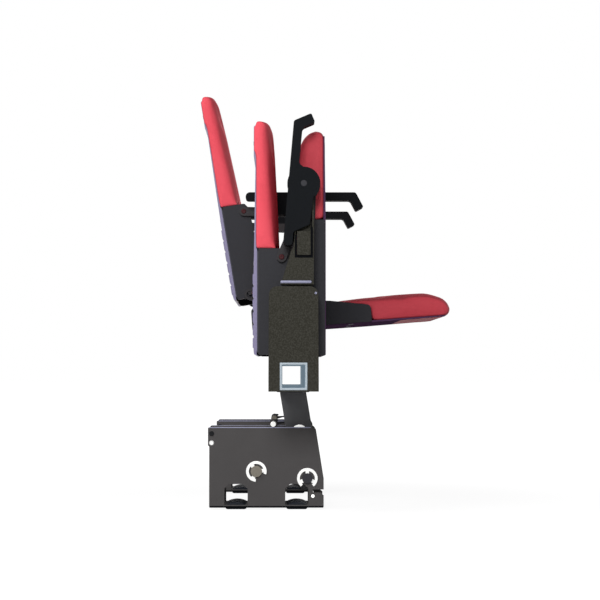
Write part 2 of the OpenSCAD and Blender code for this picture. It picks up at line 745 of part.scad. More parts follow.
module pan_hinges(i) {
    // Steel hinge blocks inside the side covers, bored for the pins
    color(STEEL) on_pan(i) both_sides() difference() {
        side_view(hinge_in, half_seat - cover_wall - 0.5) {
            circle(hinge_pin_r + 5);
            polygon([[pan_board_top, -block_rear], [pan_board_top, block_front],
                [-4, hinge_pin_r + 4], [-4, -hinge_pin_r - 4]]);
        }
        rod(hinge_pin_r + pin_gap, 0, pitch);
    }
}
module hollow_cover(outline) {
    // Moulded cover with an outer wall and a rim, open towards the middle of the seat
    difference() {
        side_view(cover_in, half_seat) polygon(rounded(outline));
        side_view(cover_in - EPS, half_seat - cover_wall) polygon(rounded(inset(outline, cover_wall)));
    }
}
module pan_covers(i) {
    color(PANEL) on_pan(i) both_sides() difference() {
        hollow_cover(pan_cover_outline);
        shell_room();
        rod(hinge_pin_r + 1, 0, pitch);
    }
}
module pan_cushion(i) {
    color(RED) on_pan(i) difference() {
        union() {
            intersection() {
                side_view(fit_gap - cover_in, cover_in - fit_gap) polygon(rounded(pan_cushion_outline));
                translate([-pitch, -pitch, -pitch])
                    cube([2 * pitch, 2 * pitch, pitch + pan_cover_front + 1]);
            }
            intersection() {
                side_view(-half_seat, half_seat) polygon(rounded(pan_cushion_outline));
                translate([-pitch, -pitch, pan_cover_front + fit_gap]) cube([2 * pitch, 2 * pitch, pitch]);
            }
        }
        shell_room();
        translate([-board_half - fit_gap, -pitch + pan_board_top, -pitch])
            cube([2 * (board_half + fit_gap), pitch, pitch + pan_front - board_edge + fit_gap]);
    }
}

// ---------------------------------------------------------------- back, folded about its link pin
back_rim = 8.3;
back_shell_in = back_deep - back_rim;
back_seam = back_shell_in + 1.6;
back_board_in = back_shell_in - board_t;
back_board_low = cover_wall + board_room - back_down;
back_board_wide = back_cover_top - cover_wall - board_room - back_board_low;
back_cover_outline = [
    [back_shell_in - back_reveal, -back_down, 3], [back_shell_in - back_reveal, back_cover_top, 2],
    [-4, back_cover_top, 6], [-11.5, 6, 6], [-14, -28, 30], [-8, -back_down, 8]];
function back_cushion_outline(rear) = [
    [rear, -back_down + 4, 2], [rear, back_up, 8.5], [17, back_up, 13], [12.5, 190, 60],
    [3.7, back_cover_top, 60], [3, -60, 60], [7, -back_down + 4, 10]];
rib_low = 12.5;
rib_side = 6;
band_low = 66;
module back_shell(i) {
    // Rear moulding: thick and ribbed low down, thinning upwards, with a raised band across the top
    groove = back_deep - rib_h;
    color(PANEL) on_back(i) {
        side_view(-half_seat, half_seat) polygon(rounded([
            [back_shell_in, -back_down, 1], [groove - 1, -back_down, 3], [groove, -back_down + 8],
            [groove, -22, 20], [groove - 0.9, 43, 60], [groove - 2.6, 130, 80],
            [groove - 3.3, back_up - band_low - 6, 1], [groove, back_up - band_low, 1.5],
            [groove, back_up - 10, 4], [back_seam, back_up - 3, 2],
            [back_seam, back_cover_top + fit_gap], [back_shell_in, back_cover_top + fit_gap]]));
        for (n = [0:5]) let (low = rib_low - back_down + n * rib_gap, high = low + rib_gap - rib_groove)
            side_view(rib_side - half_seat, half_seat - rib_side) polygon(rounded([
                [groove - EPS, low], [back_deep, low + 0.6, 1.2], [back_deep, high - 0.6, 1.2],
                [groove - EPS, high]]));
    }
}
module back_board(i) {
    // Plywood, shaped like the pan's board
    color(WOOD) on_back(i) translate([0, back_board_in, 0]) {
        translate([-board_half_in, 0, back_board_low])
            cube([2 * board_half_in, board_t, back_board_wide]);
        translate([board_room - cover_in, 0, 0])
            cube([2 * (cover_in - board_room), board_t, back_cover_top + 10]);
        translate([-board_half, 0, back_cover_top + board_room])
            cube([2 * board_half, board_t, back_up - board_edge - back_cover_top - board_room]);
    }
}
module back_lugs(i) {
    // Steel side plates on the board, with the link pin above and the guide pin below
    plate_t = 5;
    foot_x = 20;
    foot_t = 4;
    lug_r = 8.5;
    low = cover_wall + 1 - back_down;
    x1 = half_seat - cover_wall - 0.5;
    color(STEEL) on_back(i) both_sides() {
        side_view(x1 - plate_t, x1) {
            circle(lug_r);
            polygon([[-2, lug_r - 0.5], [back_board_in, 7], [back_board_in, low], [guide_local[0] - 1, low],
                [9, low + 14], [20, -60], [16, -16], [-2, 0.5 - lug_r]]);
        }
        translate([x1 - foot_x, back_board_in - foot_t, low]) cube([foot_x, foot_t, -low]);
        rod(upper_pin_r, x1 - plate_t, hanger_x - fit_gap);
        at_point(guide_local) rod(guide_pin_r, x1 - plate_t, hanger_x - fit_gap);
    }
}
module back_covers(i) {
    color(PANEL) on_back(i) both_sides() difference() {
        hollow_cover(back_cover_outline);
        translate([0, back_board_in - fit_gap, back_board_low - fit_gap])
            cube([board_half_in + fit_gap, 2 * board_t, back_board_wide + 2 * fit_gap]);
        rod(upper_pin_r + 1, 0, pitch);
        at_point(guide_local) rod(guide_pin_r + 1, 0, pitch);
    }
}
module back_cushion(i) {
    color(RED) on_back(i) difference() {
        union() {
            intersection() {
                side_view(fit_gap - cover_in, cover_in - fit_gap)
                    polygon(rounded(back_cushion_outline(back_shell_in - fit_gap)));
                translate([-pitch, -pitch, -pitch])
                    cube([2 * pitch, 2 * pitch, pitch + back_cover_top + 1]);
            }
            intersection() {
                side_view(-half_seat, half_seat)
                    polygon(rounded(back_cushion_outline(back_seam - fit_gap)));
                translate([-pitch, -pitch, back_cover_top + fit_gap]) cube([2 * pitch, 2 * pitch, pitch]);
            }
        }
        translate([-board_half - fit_gap, back_board_in, -pitch])
            cube([2 * (board_half + fit_gap), pitch, pitch + back_up - board_edge + fit_gap]);
    }
}

// ---------------------------------------------------------------- drawing
housing(0);  // housing_0
housing(1);  // housing_1
pivot_shaft(0);  // pivot_shaft_0
pivot_shaft(1);  // pivot_shaft_1
stop_shaft(0);  // stop_shaft_0
stop_shaft(1);  // stop_shaft_1
snap_rings(0);  // snap_rings_0
snap_rings(1);  // snap_rings_1
feet(0);  // feet_0
feet(1);  // feet_1
latch_pin(0);  // latch_pin_0
latch_pin(1);  // latch_pin_1
latch_lever(0);  // latch_lever_0
latch_lever(1);  // latch_lever_1
beam_tube();
leg(0);  // leg_0
leg(1);  // leg_1
leg_core(0);  // leg_core_0
leg_core(1);  // leg_core_1
upright(0);  // upright_0
upright(1);  // upright_1
upright(2);  // upright_2
bracket(0);  // bracket_0
bracket(1);  // bracket_1
bracket(2);  // bracket_2
stanchion(0);  // stanchion_0
stanchion(1);  // stanchion_1
stanchion(2);  // stanchion_2
arm_pin(0);  // arm_pin_0
arm_pin(1);  // arm_pin_1
arm_pin(2);  // arm_pin_2
hangers(0);  // hangers_0
hangers(1);  // hangers_1
armrest(0);  // armrest_0
armrest(1);  // armrest_1
armrest(2);  // armrest_2
upper_links(0);  // upper_links_0
upper_links(1);  // upper_links_1
lower_links(0);  // lower_links_0
lower_links(1);  // lower_links_1
pan_shell(0);  // pan_shell_0
pan_shell(1);  // pan_shell_1
pan_board(0);  // pan_board_0
pan_board(1);  // pan_board_1
pan_hinges(0);  // pan_hinges_0
pan_hinges(1);  // pan_hinges_1
pan_covers(0);  // pan_covers_0
pan_covers(1);  // pan_covers_1
pan_cushion(0);  // pan_cushion_0
pan_cushion(1);  // pan_cushion_1
back_shell(0);  // back_shell_0
back_shell(1);  // back_shell_1
back_board(0);  // back_board_0
back_board(1);  // back_board_1
back_lugs(0);  // back_lugs_0
back_lugs(1);  // back_lugs_1
back_covers(0);  // back_covers_0
back_covers(1);  // back_covers_1
back_cushion(0);  // back_cushion_0
back_cushion(1);  // back_cushion_1
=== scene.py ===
"""A folding stadium seat unit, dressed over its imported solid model.

Each sub-assembly is a class that makes its own pieces, each finish is a frozen dataclass that
builds a node material, and main() puts them together in order. Lengths are in millimetres unless
a docstring says metres.
"""
import json
import logging
import math
from dataclasses import dataclass
from enum import Enum
from typing import Any, Callable, Sequence

import bmesh
import bpy
from mathutils import Matrix, Vector
from mathutils.bvhtree import BVHTree

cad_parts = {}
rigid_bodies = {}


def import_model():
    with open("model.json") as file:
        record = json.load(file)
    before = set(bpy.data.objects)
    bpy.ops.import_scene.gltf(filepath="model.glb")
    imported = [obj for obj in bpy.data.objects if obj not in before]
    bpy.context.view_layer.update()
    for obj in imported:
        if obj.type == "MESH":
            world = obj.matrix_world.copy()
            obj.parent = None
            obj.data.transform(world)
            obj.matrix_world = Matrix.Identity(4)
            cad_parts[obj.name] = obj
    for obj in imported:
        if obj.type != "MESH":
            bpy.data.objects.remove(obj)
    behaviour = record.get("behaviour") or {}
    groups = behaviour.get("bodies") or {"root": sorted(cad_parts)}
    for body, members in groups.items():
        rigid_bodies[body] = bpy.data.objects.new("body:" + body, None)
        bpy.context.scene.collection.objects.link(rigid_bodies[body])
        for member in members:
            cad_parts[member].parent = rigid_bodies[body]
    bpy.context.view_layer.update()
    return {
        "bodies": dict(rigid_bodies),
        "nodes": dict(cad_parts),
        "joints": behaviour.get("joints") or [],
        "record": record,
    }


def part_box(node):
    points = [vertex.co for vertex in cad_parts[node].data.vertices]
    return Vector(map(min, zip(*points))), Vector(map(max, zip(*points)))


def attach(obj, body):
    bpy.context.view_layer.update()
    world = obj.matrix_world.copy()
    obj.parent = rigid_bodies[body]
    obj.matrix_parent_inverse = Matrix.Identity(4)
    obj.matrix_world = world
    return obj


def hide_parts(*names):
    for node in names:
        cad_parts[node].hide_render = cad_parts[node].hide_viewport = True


logging.basicConfig(level=logging.INFO, format="%(message)s")
LOG = logging.getLogger("seat")

MM = 0.001
PITCH = 500.0
SEATS = (0, 1)
STANCHIONS = (0, 1, 2)
SEAT_X = tuple((i - 0.5) * PITCH for i in SEATS)
UPRIGHT_X = tuple((k - 1) * PITCH for k in STANCHIONS)
WAYS = (-1, 1)
WHITE = (1.0, 1.0, 1.0, 1.0)
SMOOTH_DEG = 35.0
BEVEL_DEG = 32.0
Point2 = tuple[float, float]
Corner = tuple[float, ...]
Spot = tuple[Sequence[float], Sequence[float]]


def unit(value: float) -> float:
    """Holds a value between 0 and 1."""
    return max(0.0, min(1.0, value))


def ramp(value: float, ends: Point2) -> float:
    """How far a value has come from the first of two ends to the second, from 0 to 1."""
    return unit((value - ends[0]) / (ends[1] - ends[0]))


# ---------------------------------------------------------------- shader nodes
def linear(code: str) -> tuple[float, ...]:
    """Turns a six-digit display colour into linear values.

    Args:
        code: The colour as six hexadecimal digits.

    Returns:
        Red, green, blue and an alpha of 1.
    """
    shares = [int(code[k:k + 2], 16) / 255 for k in (0, 2, 4)]
    return tuple(v / 12.92 if v <= 0.04045 else ((v + 0.055) / 1.055) ** 2.4 for v in shares) + (1.0,)


def tint(colour: Sequence[float], factor: float) -> tuple[float, ...]:
    """A linear colour made darker or lighter, with an alpha of 1."""
    return tuple(min(1.0, c * factor) for c in colour[:3]) + (1.0,)


class Wire:
    """An output socket that takes part in arithmetic."""

    def __init__(self, bench: "Bench", socket: bpy.types.NodeSocket) -> None:
        """Keeps the socket and the bench that adds its nodes."""
        self.bench = bench
        self.socket = socket

    def _math(self, operation: str, a: Any, b: Any, clamp: bool = False) -> "Wire":
        """Adds one Math node.

        Args:
            operation: The Math node's operation.
            a: The first value or wire.
            b: The second value or wire.
            clamp: True to hold the result between 0 and 1.

        Returns:
            The node's output.
        """
        return self.bench.node("ShaderNodeMath", {"operation": operation, "use_clamp": clamp}, {0: a, 1: b})

    def __add__(self, other: Any) -> "Wire":
        """Sum."""
        return self._math("ADD", self, other)

    def __radd__(self, other: Any) -> "Wire":
        """Sum, the other way round."""
        return self._math("ADD", other, self)

    def __sub__(self, other: Any) -> "Wire":
        """Difference."""
        return self._math("SUBTRACT", self, other)

    def __rsub__(self, other: Any) -> "Wire":
        """Difference, the other way round."""
        return self._math("SUBTRACT", other, self)

    def __mul__(self, other: Any) -> "Wire":
        """Product."""
        return self._math("MULTIPLY", self, other)

    def __rmul__(self, other: Any) -> "Wire":
        """Product, the other way round."""
        return self._math("MULTIPLY", other, self)

    def swing(self, amount: float, middle: float = 0.5) -> "Wire":
        """The value's distance from its middle, times an amount."""
        return (self - middle) * amount

    def larger(self, other: Any) -> "Wire":
        """The larger of this and another value."""
        return self._math("MAXIMUM", self, other)

    def clamped(self) -> "Wire":
        """The value held between 0 and 1."""
        return self._math("ADD", self, 0.0, clamp=True)


class Bench:
    """Adds nodes to the tree of one material, one world or one node group."""

    def __init__(self, owner: Any) -> None:
        """Empties the tree.

        Args:
            owner: The material or the world, or the node group itself.
        """
        self.owner = owner
        if not isinstance(owner, bpy.types.NodeTree):
            owner.use_nodes = True
        self.tree = owner if isinstance(owner, bpy.types.NodeTree) else owner.node_tree
        self.tree.nodes.clear()

    def node(self, kind: str, settings: dict[str, Any] | None = None,
             inputs: dict[Any, Any] | None = None, out: Any = 0) -> Wire:
        """Adds any node.

        Args:
            kind: The node's type.
            settings: Attributes set first; "stops" fills a ramp with (place, colour) pairs.
            inputs: Socket name or number to a value or a wire.
            out: The output to return.

        Returns:
            The chosen output, or the first input of a node without outputs.
        """
        made = self.tree.nodes.new(kind)
        for key, value in (settings or {}).items():
            if key == "stops":
                ramp = made.color_ramp
                while len(ramp.elements) > 1:
                    ramp.elements.remove(ramp.elements[-1])
                for n, (place, colour) in enumerate(value):
                    element = ramp.elements[0] if n == 0 else ramp.elements.new(place)
                    element.position = place
                    element.color = colour
            else:
                setattr(made, key, value)
        for key, value in (inputs or {}).items():
            if isinstance(value, Wire):
                self.tree.links.new(value.socket, made.inputs[key])
            else:
                made.inputs[key].default_value = value
        return Wire(self, made.outputs[out] if len(made.outputs) else made.inputs[0])

    def place(self, scale: float, stretch: Sequence[float] = (1, 1, 1)) -> Wire:
        """Object coordinates times a factor, and times a factor for each axis."""
        where = self.node("ShaderNodeTexCoord", out="Object")
        return self.node("ShaderNodeMapping", {}, {"Vector": where, "Scale": [scale * s for s in stretch]})

    def noise(self, size: float, detail: float = 3.0, roughness: float = 0.5,
              stretch: Sequence[float] = (1, 1, 1)) -> Wire:
        """Noise whose blots are about size metres across."""
        return self.node("ShaderNodeTexNoise", {}, {"Vector": self.place(1 / size, stretch), "Scale": 1.0,
                                                    "Detail": detail, "Roughness": roughness}, "Fac")

    def cells(self, size: float, feature: str = "F1") -> Wire:
        """Distances in cells about size metres across."""
        return self.node("ShaderNodeTexVoronoi", {"feature": feature},
                         {"Vector": self.place(1 / size), "Scale": 1.0}, "Distance")

    def mix(self, factor: Any, a: Any, b: Any) -> Wire:
        """The first colour, mixed with a share of the second one."""
        return self.node("ShaderNodeMix", {"data_type": "RGBA"}, {0: factor, 6: a, 7: b}, 2)

    def bump(self, height: Wire, strength: float, distance: float, normal: Wire | None = None) -> Wire:
        """Turns a height into a normal.

        Args:
            height: The height.
            strength: Share of the effect.
            distance: Height of 1, in metres.
            normal: A bump to add to.

        Returns:
            The normal.
        """
        inputs: dict[Any, Any] = {"Height": height, "Strength": strength, "Distance": distance}
        if normal is not None:
            inputs["Normal"] = normal
        return self.node("ShaderNodeBump", {}, inputs)


# ---------------------------------------------------------------- finishes, with their sizes in metres
@dataclass(frozen=True)
class Finish:
    """What every finish has: a name, a main colour and a material that is built once."""

    name: str
    colour: str

    def sockets(self, bench: Bench) -> dict[str, Any]:
        """Adds the finish's nodes.

        Args:
            bench: What adds them.

        Returns:
            The shader's socket names and their values or wires.
        """
        raise NotImplementedError(type(self).__name__)

    def material(self) -> bpy.types.Material:
        """Builds the material at its first use.

        Returns:
            The material.
        """
        found = bpy.data.materials.get(self.name)
        if found is None:
            found = bpy.data.materials.new(self.name)
            bench = Bench(found)
            shader = bench.node("ShaderNodeBsdfPrincipled", {}, self.sockets(bench))
            bench.node("ShaderNodeOutputMaterial", {}, {"Surface": shader})
        return found


@dataclass(frozen=True)
class PowderCoat(Finish):
    """Baked powder paint: fine orange peel, faint mottling, soft sheen."""

    rough: float = 0.5
    peel: float = 0.0016
    depth: float = 0.00006
    mottle: float = 0.10
    gloss: float = 0.22
    cloud: float = 0.05
    dust: float = 0.012

    def sockets(self, bench: Bench) -> dict[str, Any]:
        """Adds the paint's nodes.

        Args:
            bench: What adds them.

        Returns:
            The shader's socket names and their values or wires.
        """
        dark = tint(linear(self.colour), 1 - self.mottle)
        light = tint(linear(self.colour), 1 + self.mottle)
        peel = bench.noise(self.peel, 2)
        dust = bench.noise(self.dust, 5, 0.65)
        colour = bench.mix(bench.noise(self.cloud, 4), dark, light)
        return {"Base Color": bench.mix(peel.swing(0.5) + 0.25, colour, light),
                "Roughness": self.rough + dust.swing(0.18),
                "Normal": bench.bump(peel, 0.8, self.depth), "Specular IOR Level": self.gloss}


@dataclass(frozen=True)
class GrainedPlastic(Finish):
    """Moulded plastic with an etched grain and paler specks."""

    speck: str
    rough: float = 0.6
    grain: float = 0.0016
    depth: float = 0.00018
    contrast: float = 0.6
    gloss: float = 0.12
    cloud: float = 0.06
    speck_range: Point2 = (0.42, 0.62)

    def sockets(self, bench: Bench) -> dict[str, Any]:
        """Adds the plastic's nodes.

        Args:
            bench: What adds them.

        Returns:
            The shader's socket names and their values or wires.
        """
        grain = bench.noise(self.grain, 3, 0.6)
        cell = bench.cells(self.grain * 1.8)
        stops = tuple(zip(self.speck_range, ((0, 0, 0, 1), WHITE)))
        specks = bench.node("ShaderNodeValToRGB", {"stops": stops}, {"Fac": grain})
        mask = bench.node("ShaderNodeRGBToBW", {}, {"Color": specks})
        base = bench.mix(bench.noise(self.cloud) * 0.35, linear(self.colour), linear(self.speck))
        return {"Base Color": bench.mix(mask * self.contrast, base, linear(self.speck)),
                "Roughness": self.rough + cell.swing(0.2, 0.4),
                "Normal": bench.bump(grain * 0.6 + cell * 0.4, 0.9, self.depth),
                "Specular IOR Level": self.gloss}


@dataclass(frozen=True)
class Upholstery(Finish):
    """Coated cloth with a fine pebble; painted shade darkens the pebble's grooves, the creases and the turn
    of a cushion towards its ends and its back.
    """

    # the colour of the painted shade
    painted_shade: str
    bright: str
    rough: float = 0.56
    pebble: float = 0.0014
    depth: float = 0.00012
    gloss: float = 0.08
    cloud: float = 0.09
    crease: float = 0.02
    crease_depth: float = 0.0012
    turn_shade_share: float = 0.65

    def sockets(self, bench: Bench) -> dict[str, Any]:
        """Adds the cloth's nodes.

        Args:
            bench: What adds them.

        Returns:
            The shader's socket names and their values or wires.
        """
        painted_shade = linear(self.painted_shade)
        edge = bench.cells(self.pebble, "DISTANCE_TO_EDGE")
        small = bench.noise(self.pebble * 0.6, 2)
        crease = bench.noise(self.crease, 5, 0.6)
        groove = 1 - (edge * 6.0).clamped()
        turned = bench.node("ShaderNodeAttribute", {"attribute_name": Pad.TURN_SHADE}, {}, "Fac")
        colour = bench.mix(bench.noise(self.cloud, 4), linear(self.colour), linear(self.bright))
        # painted shade: the grooves between the pebbles are darkened
        colour = bench.mix(groove * 0.35, colour, painted_shade)
        # painted shade: the creases are darkened
        colour = bench.mix((crease - 0.55).clamped() * 0.6, colour, painted_shade)
        height = (edge * 5.0).clamped() * 0.8 + small * 0.2
        soft = bench.bump(crease, 0.25, self.crease_depth)
        # painted shade: the turn of a cushion, as Pad marks it, is darkened
        return {"Base Color": bench.mix(turned * self.turn_shade_share, colour, painted_shade),
                "Roughness": self.rough + crease.swing(0.14) + groove * 0.1,
                "Normal": bench.bump(height, 0.6, self.depth, soft), "Specular IOR Level": self.gloss}


@dataclass(frozen=True)
class TurnedSteel(Finish):
    """Machined or plated steel with fine turning marks and dull stains."""

    rough: float = 0.34
    metal: float = 0.9
    marks: float = 0.0007
    stain: float = 0.01
    depth: float = 0.00005
    dull: float = 0.72

    def sockets(self, bench: Bench) -> dict[str, Any]:
        """Adds the steel's nodes.

        Args:
            bench: What adds them.

        Returns:
            The shader's socket names and their values or wires.
        """
        marks = bench.noise(self.marks, 2, stretch=(0.25, 1, 1))
        stain = bench.noise(self.stain, 5, 0.6)
        base = linear(self.colour)
        return {"Base Color": bench.mix(stain * 0.6, base, tint(base, self.dull)), "Metallic": self.metal,
                "Roughness": self.rough + stain.swing(0.25) + marks.swing(0.12),
                "Normal": bench.bump(marks, 0.35, self.depth)}


@dataclass(frozen=True)
class Rubber(Finish):
    """Moulded rubber with a faint bloom."""

    bloom: str
    rough: float = 0.62
    cloud: float = 0.012
    pores: float = 0.0009
    depth: float = 0.0001
    gloss: float = 0.12

    def sockets(self, bench: Bench) -> dict[str, Any]:
        """Adds the rubber's nodes.

        Args:
            bench: What adds them.

        Returns:
            The shader's socket names and their values or wires.
        """
        cloud = bench.noise(self.cloud, 4)
        return {"Base Color": bench.mix(cloud * 0.5, linear(self.colour), linear(self.bloom)),
                "Roughness": self.rough + cloud.swing(0.2),
                "Normal": bench.bump(bench.noise(self.pores, 2), 0.5, self.depth),
                "Specular IOR Level": self.gloss}


@dataclass(frozen=True)
class Plywood(Finish):
    """Sealed plywood with long grain."""

    dark: str
    rough: float = 0.68
    grain: float = 0.012
    pores: float = 0.002
    depth: float = 0.0002

    def sockets(self, bench: Bench) -> dict[str, Any]:
        """Adds the wood's nodes.

        Args:
            bench: What adds them.

        Returns:
            The shader's socket names and their values or wires.
        """
        grain = bench.noise(self.grain, 5, 0.6, (0.06, 1, 1))
        pores = bench.noise(self.pores, 3, 0.6, (0.08, 1, 1))
        return {"Base Color": bench.mix(grain, linear(self.colour), linear(self.dark)),
                "Roughness": self.rough + pores.swing(0.2), "Normal": bench.bump(pores, 0.5, self.depth)}


@dataclass(frozen=True)
class GlowingPlastic(Finish):
    """Pale plastic that glows as painted light though it is no lamp: the inside of the beam and the plugs.
    """

    rough: float = 0.6
    cloud: float = 0.02
    glow: float = 0.6
    gloss: float = 0.2

    def sockets(self, bench: Bench) -> dict[str, Any]:
        """Adds the plastic's nodes.

        Args:
            bench: What adds them.

        Returns:
            The shader's socket names and their values or wires.
        """
        cloud = bench.noise(self.cloud)
        base = linear(self.colour)
        colour = bench.mix(cloud * 0.4, base, tint(base, 0.8))
        # painted light: the emission makes the plastic glow though it is no lamp
        return {"Base Color": colour, "Roughness": self.rough + cloud.swing(0.1),
                "Emission Color": colour, "Emission Strength": self.glow, "Specular IOR Level": self.gloss}


class Look(Enum):
    """Every finish on the unit."""

    BASE = PowderCoat("base_box_coat", "424040", rough=0.55, gloss=0.08)
    LEG = PowderCoat("leg_coat", "4E4E50", rough=0.5)
    LINK = PowderCoat("link_coat", "282628", rough=0.5, gloss=0.12)
    BEAM = PowderCoat("beam_coat", "9CA6AE", rough=0.45, mottle=0.04, gloss=0.2)
    COVER = GrainedPlastic("bracket_grain", "26251F", "3B3A35", 0.8, 0.0024, 0.00016, 0.8, 0.06)
    ARM = GrainedPlastic("armrest_plastic", "0B0D0F", "121418", 0.7, 0.0009, 0.00006, gloss=0.06)
    PANEL = GrainedPlastic("side_cover_plastic", "2C2C2F", "343438", 0.6, 0.0011, 0.00008, gloss=0.06)
    # painted reflection: the back shell's lavender is the colour of its gloss reflecting the light
    SHELL = GrainedPlastic("shell_plastic", "6E6884", "7D7796", 0.4, 0.0011, 0.00008, gloss=0.3)
    # painted shade: the pan shell's dark maroon stands in for the shade under the pan
    UNDER = GrainedPlastic("pan_shell_plastic", "47304A", "523A56", 0.45, 0.0011, 0.00008, gloss=0.0)
    MATT = GrainedPlastic("foot_strip_plastic", "0B0C0E", "111215", 0.9, 0.0009, 0.00005, gloss=0.0)
    LEVER = GrainedPlastic("lever_plastic", "101114", "191A1E", 0.5, 0.0009, 0.00005, gloss=0.1)
    # painted highlight: the pale lavender of lit top edges and ledges
    HIGHLIGHT_BEAD = GrainedPlastic("bead_painted_highlight", "77788E", "8F90A8", 0.4, 0.0009, 0.00005, gloss=0.3)
    # the third colour of each upholstery is its painted shade
    RED = Upholstery("red_upholstery", "D64653", "8A202C", "E45A66")
    # painted shade: the pans take a darker copy of the backs' red
    PAN_RED_SHADED = Upholstery("red_upholstery_pan_shade", "B63A45", "701824", "C64B55")
    # painted light: the plugs glow
    PLUG = GlowingPlastic("plug_plastic", "F4F4F2")
    SHAFT = PowderCoat("shaft_coat", "706B62", rough=0.5, gloss=0.15)
    # painted reflection: the dark red of the link pins' ends is the red cushion reflected
    LINK_PIN = PowderCoat("link_pin_red_reflection", "3A1418", rough=0.5, gloss=0.1)
    PIN = PowderCoat("pin_coat", "2A2A2E", rough=0.5, gloss=0.1)
    ZINC = TurnedSteel("zinc_plate", "F0F0EE", rough=0.35, metal=0.3)
    SCREW = TurnedSteel("screw_steel", "3C3D40", rough=0.4, metal=0.6)
    FOOT = Rubber("foot_rubber", "14161C", "1E222B")
    WOOD = Plywood("sealed_plywood", "262633", "1B1B25")
    # painted light: the inside of the beam glows
    BORE = GlowingPlastic("beam_bore_glow", "76858F")

    def material(self) -> bpy.types.Material:
        """The finish's material."""
        return self.value.material()


# ---------------------------------------------------------------- mesh tools
def rounded(points: Sequence[Corner], steps: int = 8) -> list[Vector]:
    """Rounds the corners of an outline.

    Args:
        points: Corners as (y, z) or (y, z, radius).
        steps: Chords in each arc.

    Returns:
        The outline's points.
    """
    out: list[Vector] = []
    count = len(points)
    for i, p in enumerate(points):
        here = Vector(p[:2])
        if len(p) < 3 or p[2] <= 0:
            out.append(here)
            continue
        u = (Vector(points[i - 1][:2]) - here).normalized()
        v = (Vector(points[(i + 1) % count][:2]) - here).normalized()
        half = math.acos(max(-1.0, min(1.0, u.dot(v)))) / 2
        centre = here + (u + v).normalized() * (p[2] / math.sin(half))
        start = here + u * (p[2] / math.tan(half)) - centre
        end = here + v * (p[2] / math.tan(half)) - centre
        a0 = math.atan2(start.y, start.x)
        sweep = (math.atan2(end.y, end.x) - a0 + math.pi) % (2 * math.pi) - math.pi
        for k in range(steps + 1):
            a = a0 + sweep * k / steps
            out.append(centre + p[2] * Vector((math.cos(a), math.sin(a))))
    return out


def join_loops(bm: bmesh.types.BMesh, loops: Sequence[Sequence[bmesh.types.BMVert]]) -> None:
    """Closes a row of equal loops of points into one solid.

    Args:
        bm: The mesh that holds the points.
        loops: The loops, from one end to the other.
    """
    made = [bm.faces.new(loops[0][::-1]), bm.faces.new(loops[-1])]
    count = len(loops[0])
    for a, b in zip(loops, loops[1:]):
        for k in range(count):
            n = (k + 1) % count
            made.append(bm.faces.new((a[k], a[n], b[n], b[k])))
    bmesh.ops.recalc_face_normals(bm, faces=made)


def add_prism(bm: bmesh.types.BMesh, outline: Sequence[Vector], *ends: float) -> None:
    """Adds a closed prism.

    Args:
        bm: The mesh that it is added to.
        outline: Points (y, z).
        *ends: Its lower and its upper end along the row.
    """
    join_loops(bm, [[bm.verts.new(Vector((x, p.x, p.y)) * MM) for p in outline] for x in ends])


def new_object(name: str, mesh: bpy.types.Mesh) -> bpy.types.Object:
    """Puts a mesh into the scene.

    Args:
        name: The object's name.
        mesh: Its mesh.

    Returns:
        The object, at the origin.
    """
    obj = bpy.data.objects.new(name, mesh)
    bpy.context.scene.collection.objects.link(obj)
    return obj


def mesh_object(name: str, bm: bmesh.types.BMesh, material: bpy.types.Material) -> bpy.types.Object:
    """Turns a bmesh into an object with one material.

    Args:
        name: The piece's name.
        bm: The mesh, which is freed.
        material: Its material.

    Returns:
        The object.
    """
    mesh = bpy.data.meshes.new(name)
    bm.to_mesh(mesh)
    bm.free()
    mesh.materials.append(material)
    return new_object(name, mesh)


def settle(obj: bpy.types.Object, smooth_deg: float | None = SMOOTH_DEG) -> bpy.types.Object:
    """Applies an object's modifiers to its mesh.

    Args:
        obj: The object.
        smooth_deg: Faces that meet at less than this are shaded smooth; None leaves them.

    Returns:
        The same object.
    """
    bpy.context.view_layer.update()
    graph = bpy.context.evaluated_depsgraph_get()
    mesh = bpy.data.meshes.new_from_object(obj.evaluated_get(graph))
    old = obj.data
    obj.modifiers.clear()
    obj.data = mesh
    bpy.data.meshes.remove(old)
    if smooth_deg is not None:
        mesh.shade_smooth()
        mesh.set_sharp_from_angle(angle=math.radians(smooth_deg))
    return obj


def bevel(obj: bpy.types.Object, width: float, segments: int = 3,
          angle: float = BEVEL_DEG) -> bpy.types.Object:
    """Adds a Bevel modifier.

    Args:
        obj: The object.
        width: Width of the rounded edges.
        segments: Faces across each of them.
        angle: Edges sharper than this are rounded.

    Returns:
        The same object.
    """
    mod = obj.modifiers.new("edge", "BEVEL")
    mod.width = width * MM
    mod.segments = segments
    mod.limit_method = "ANGLE"
    mod.angle_limit = math.radians(angle)
    mod.miter_outer = "MITER_ARC"
    return obj


def copy_at(obj: bpy.types.Object, name: str, place: Matrix) -> bpy.types.Object:
    """Copies an object with its place in its mesh.

    Args:
        obj: The model copy.
        name: The new piece's name.
        place: Where it goes.

    Returns:
        The new object, at the origin.
    """
    mesh = obj.data.copy()
    mesh.transform(place)
    return new_object(name, mesh)


def side(x: float, y: float, z: float, turn: float = 0.0) -> Matrix:
    """A place with a turn about the row's axis, in degrees."""
    return Matrix.Translation(Vector((x, y, z)) * MM) @ Matrix.Rotation(math.radians(turn), 4, "X")


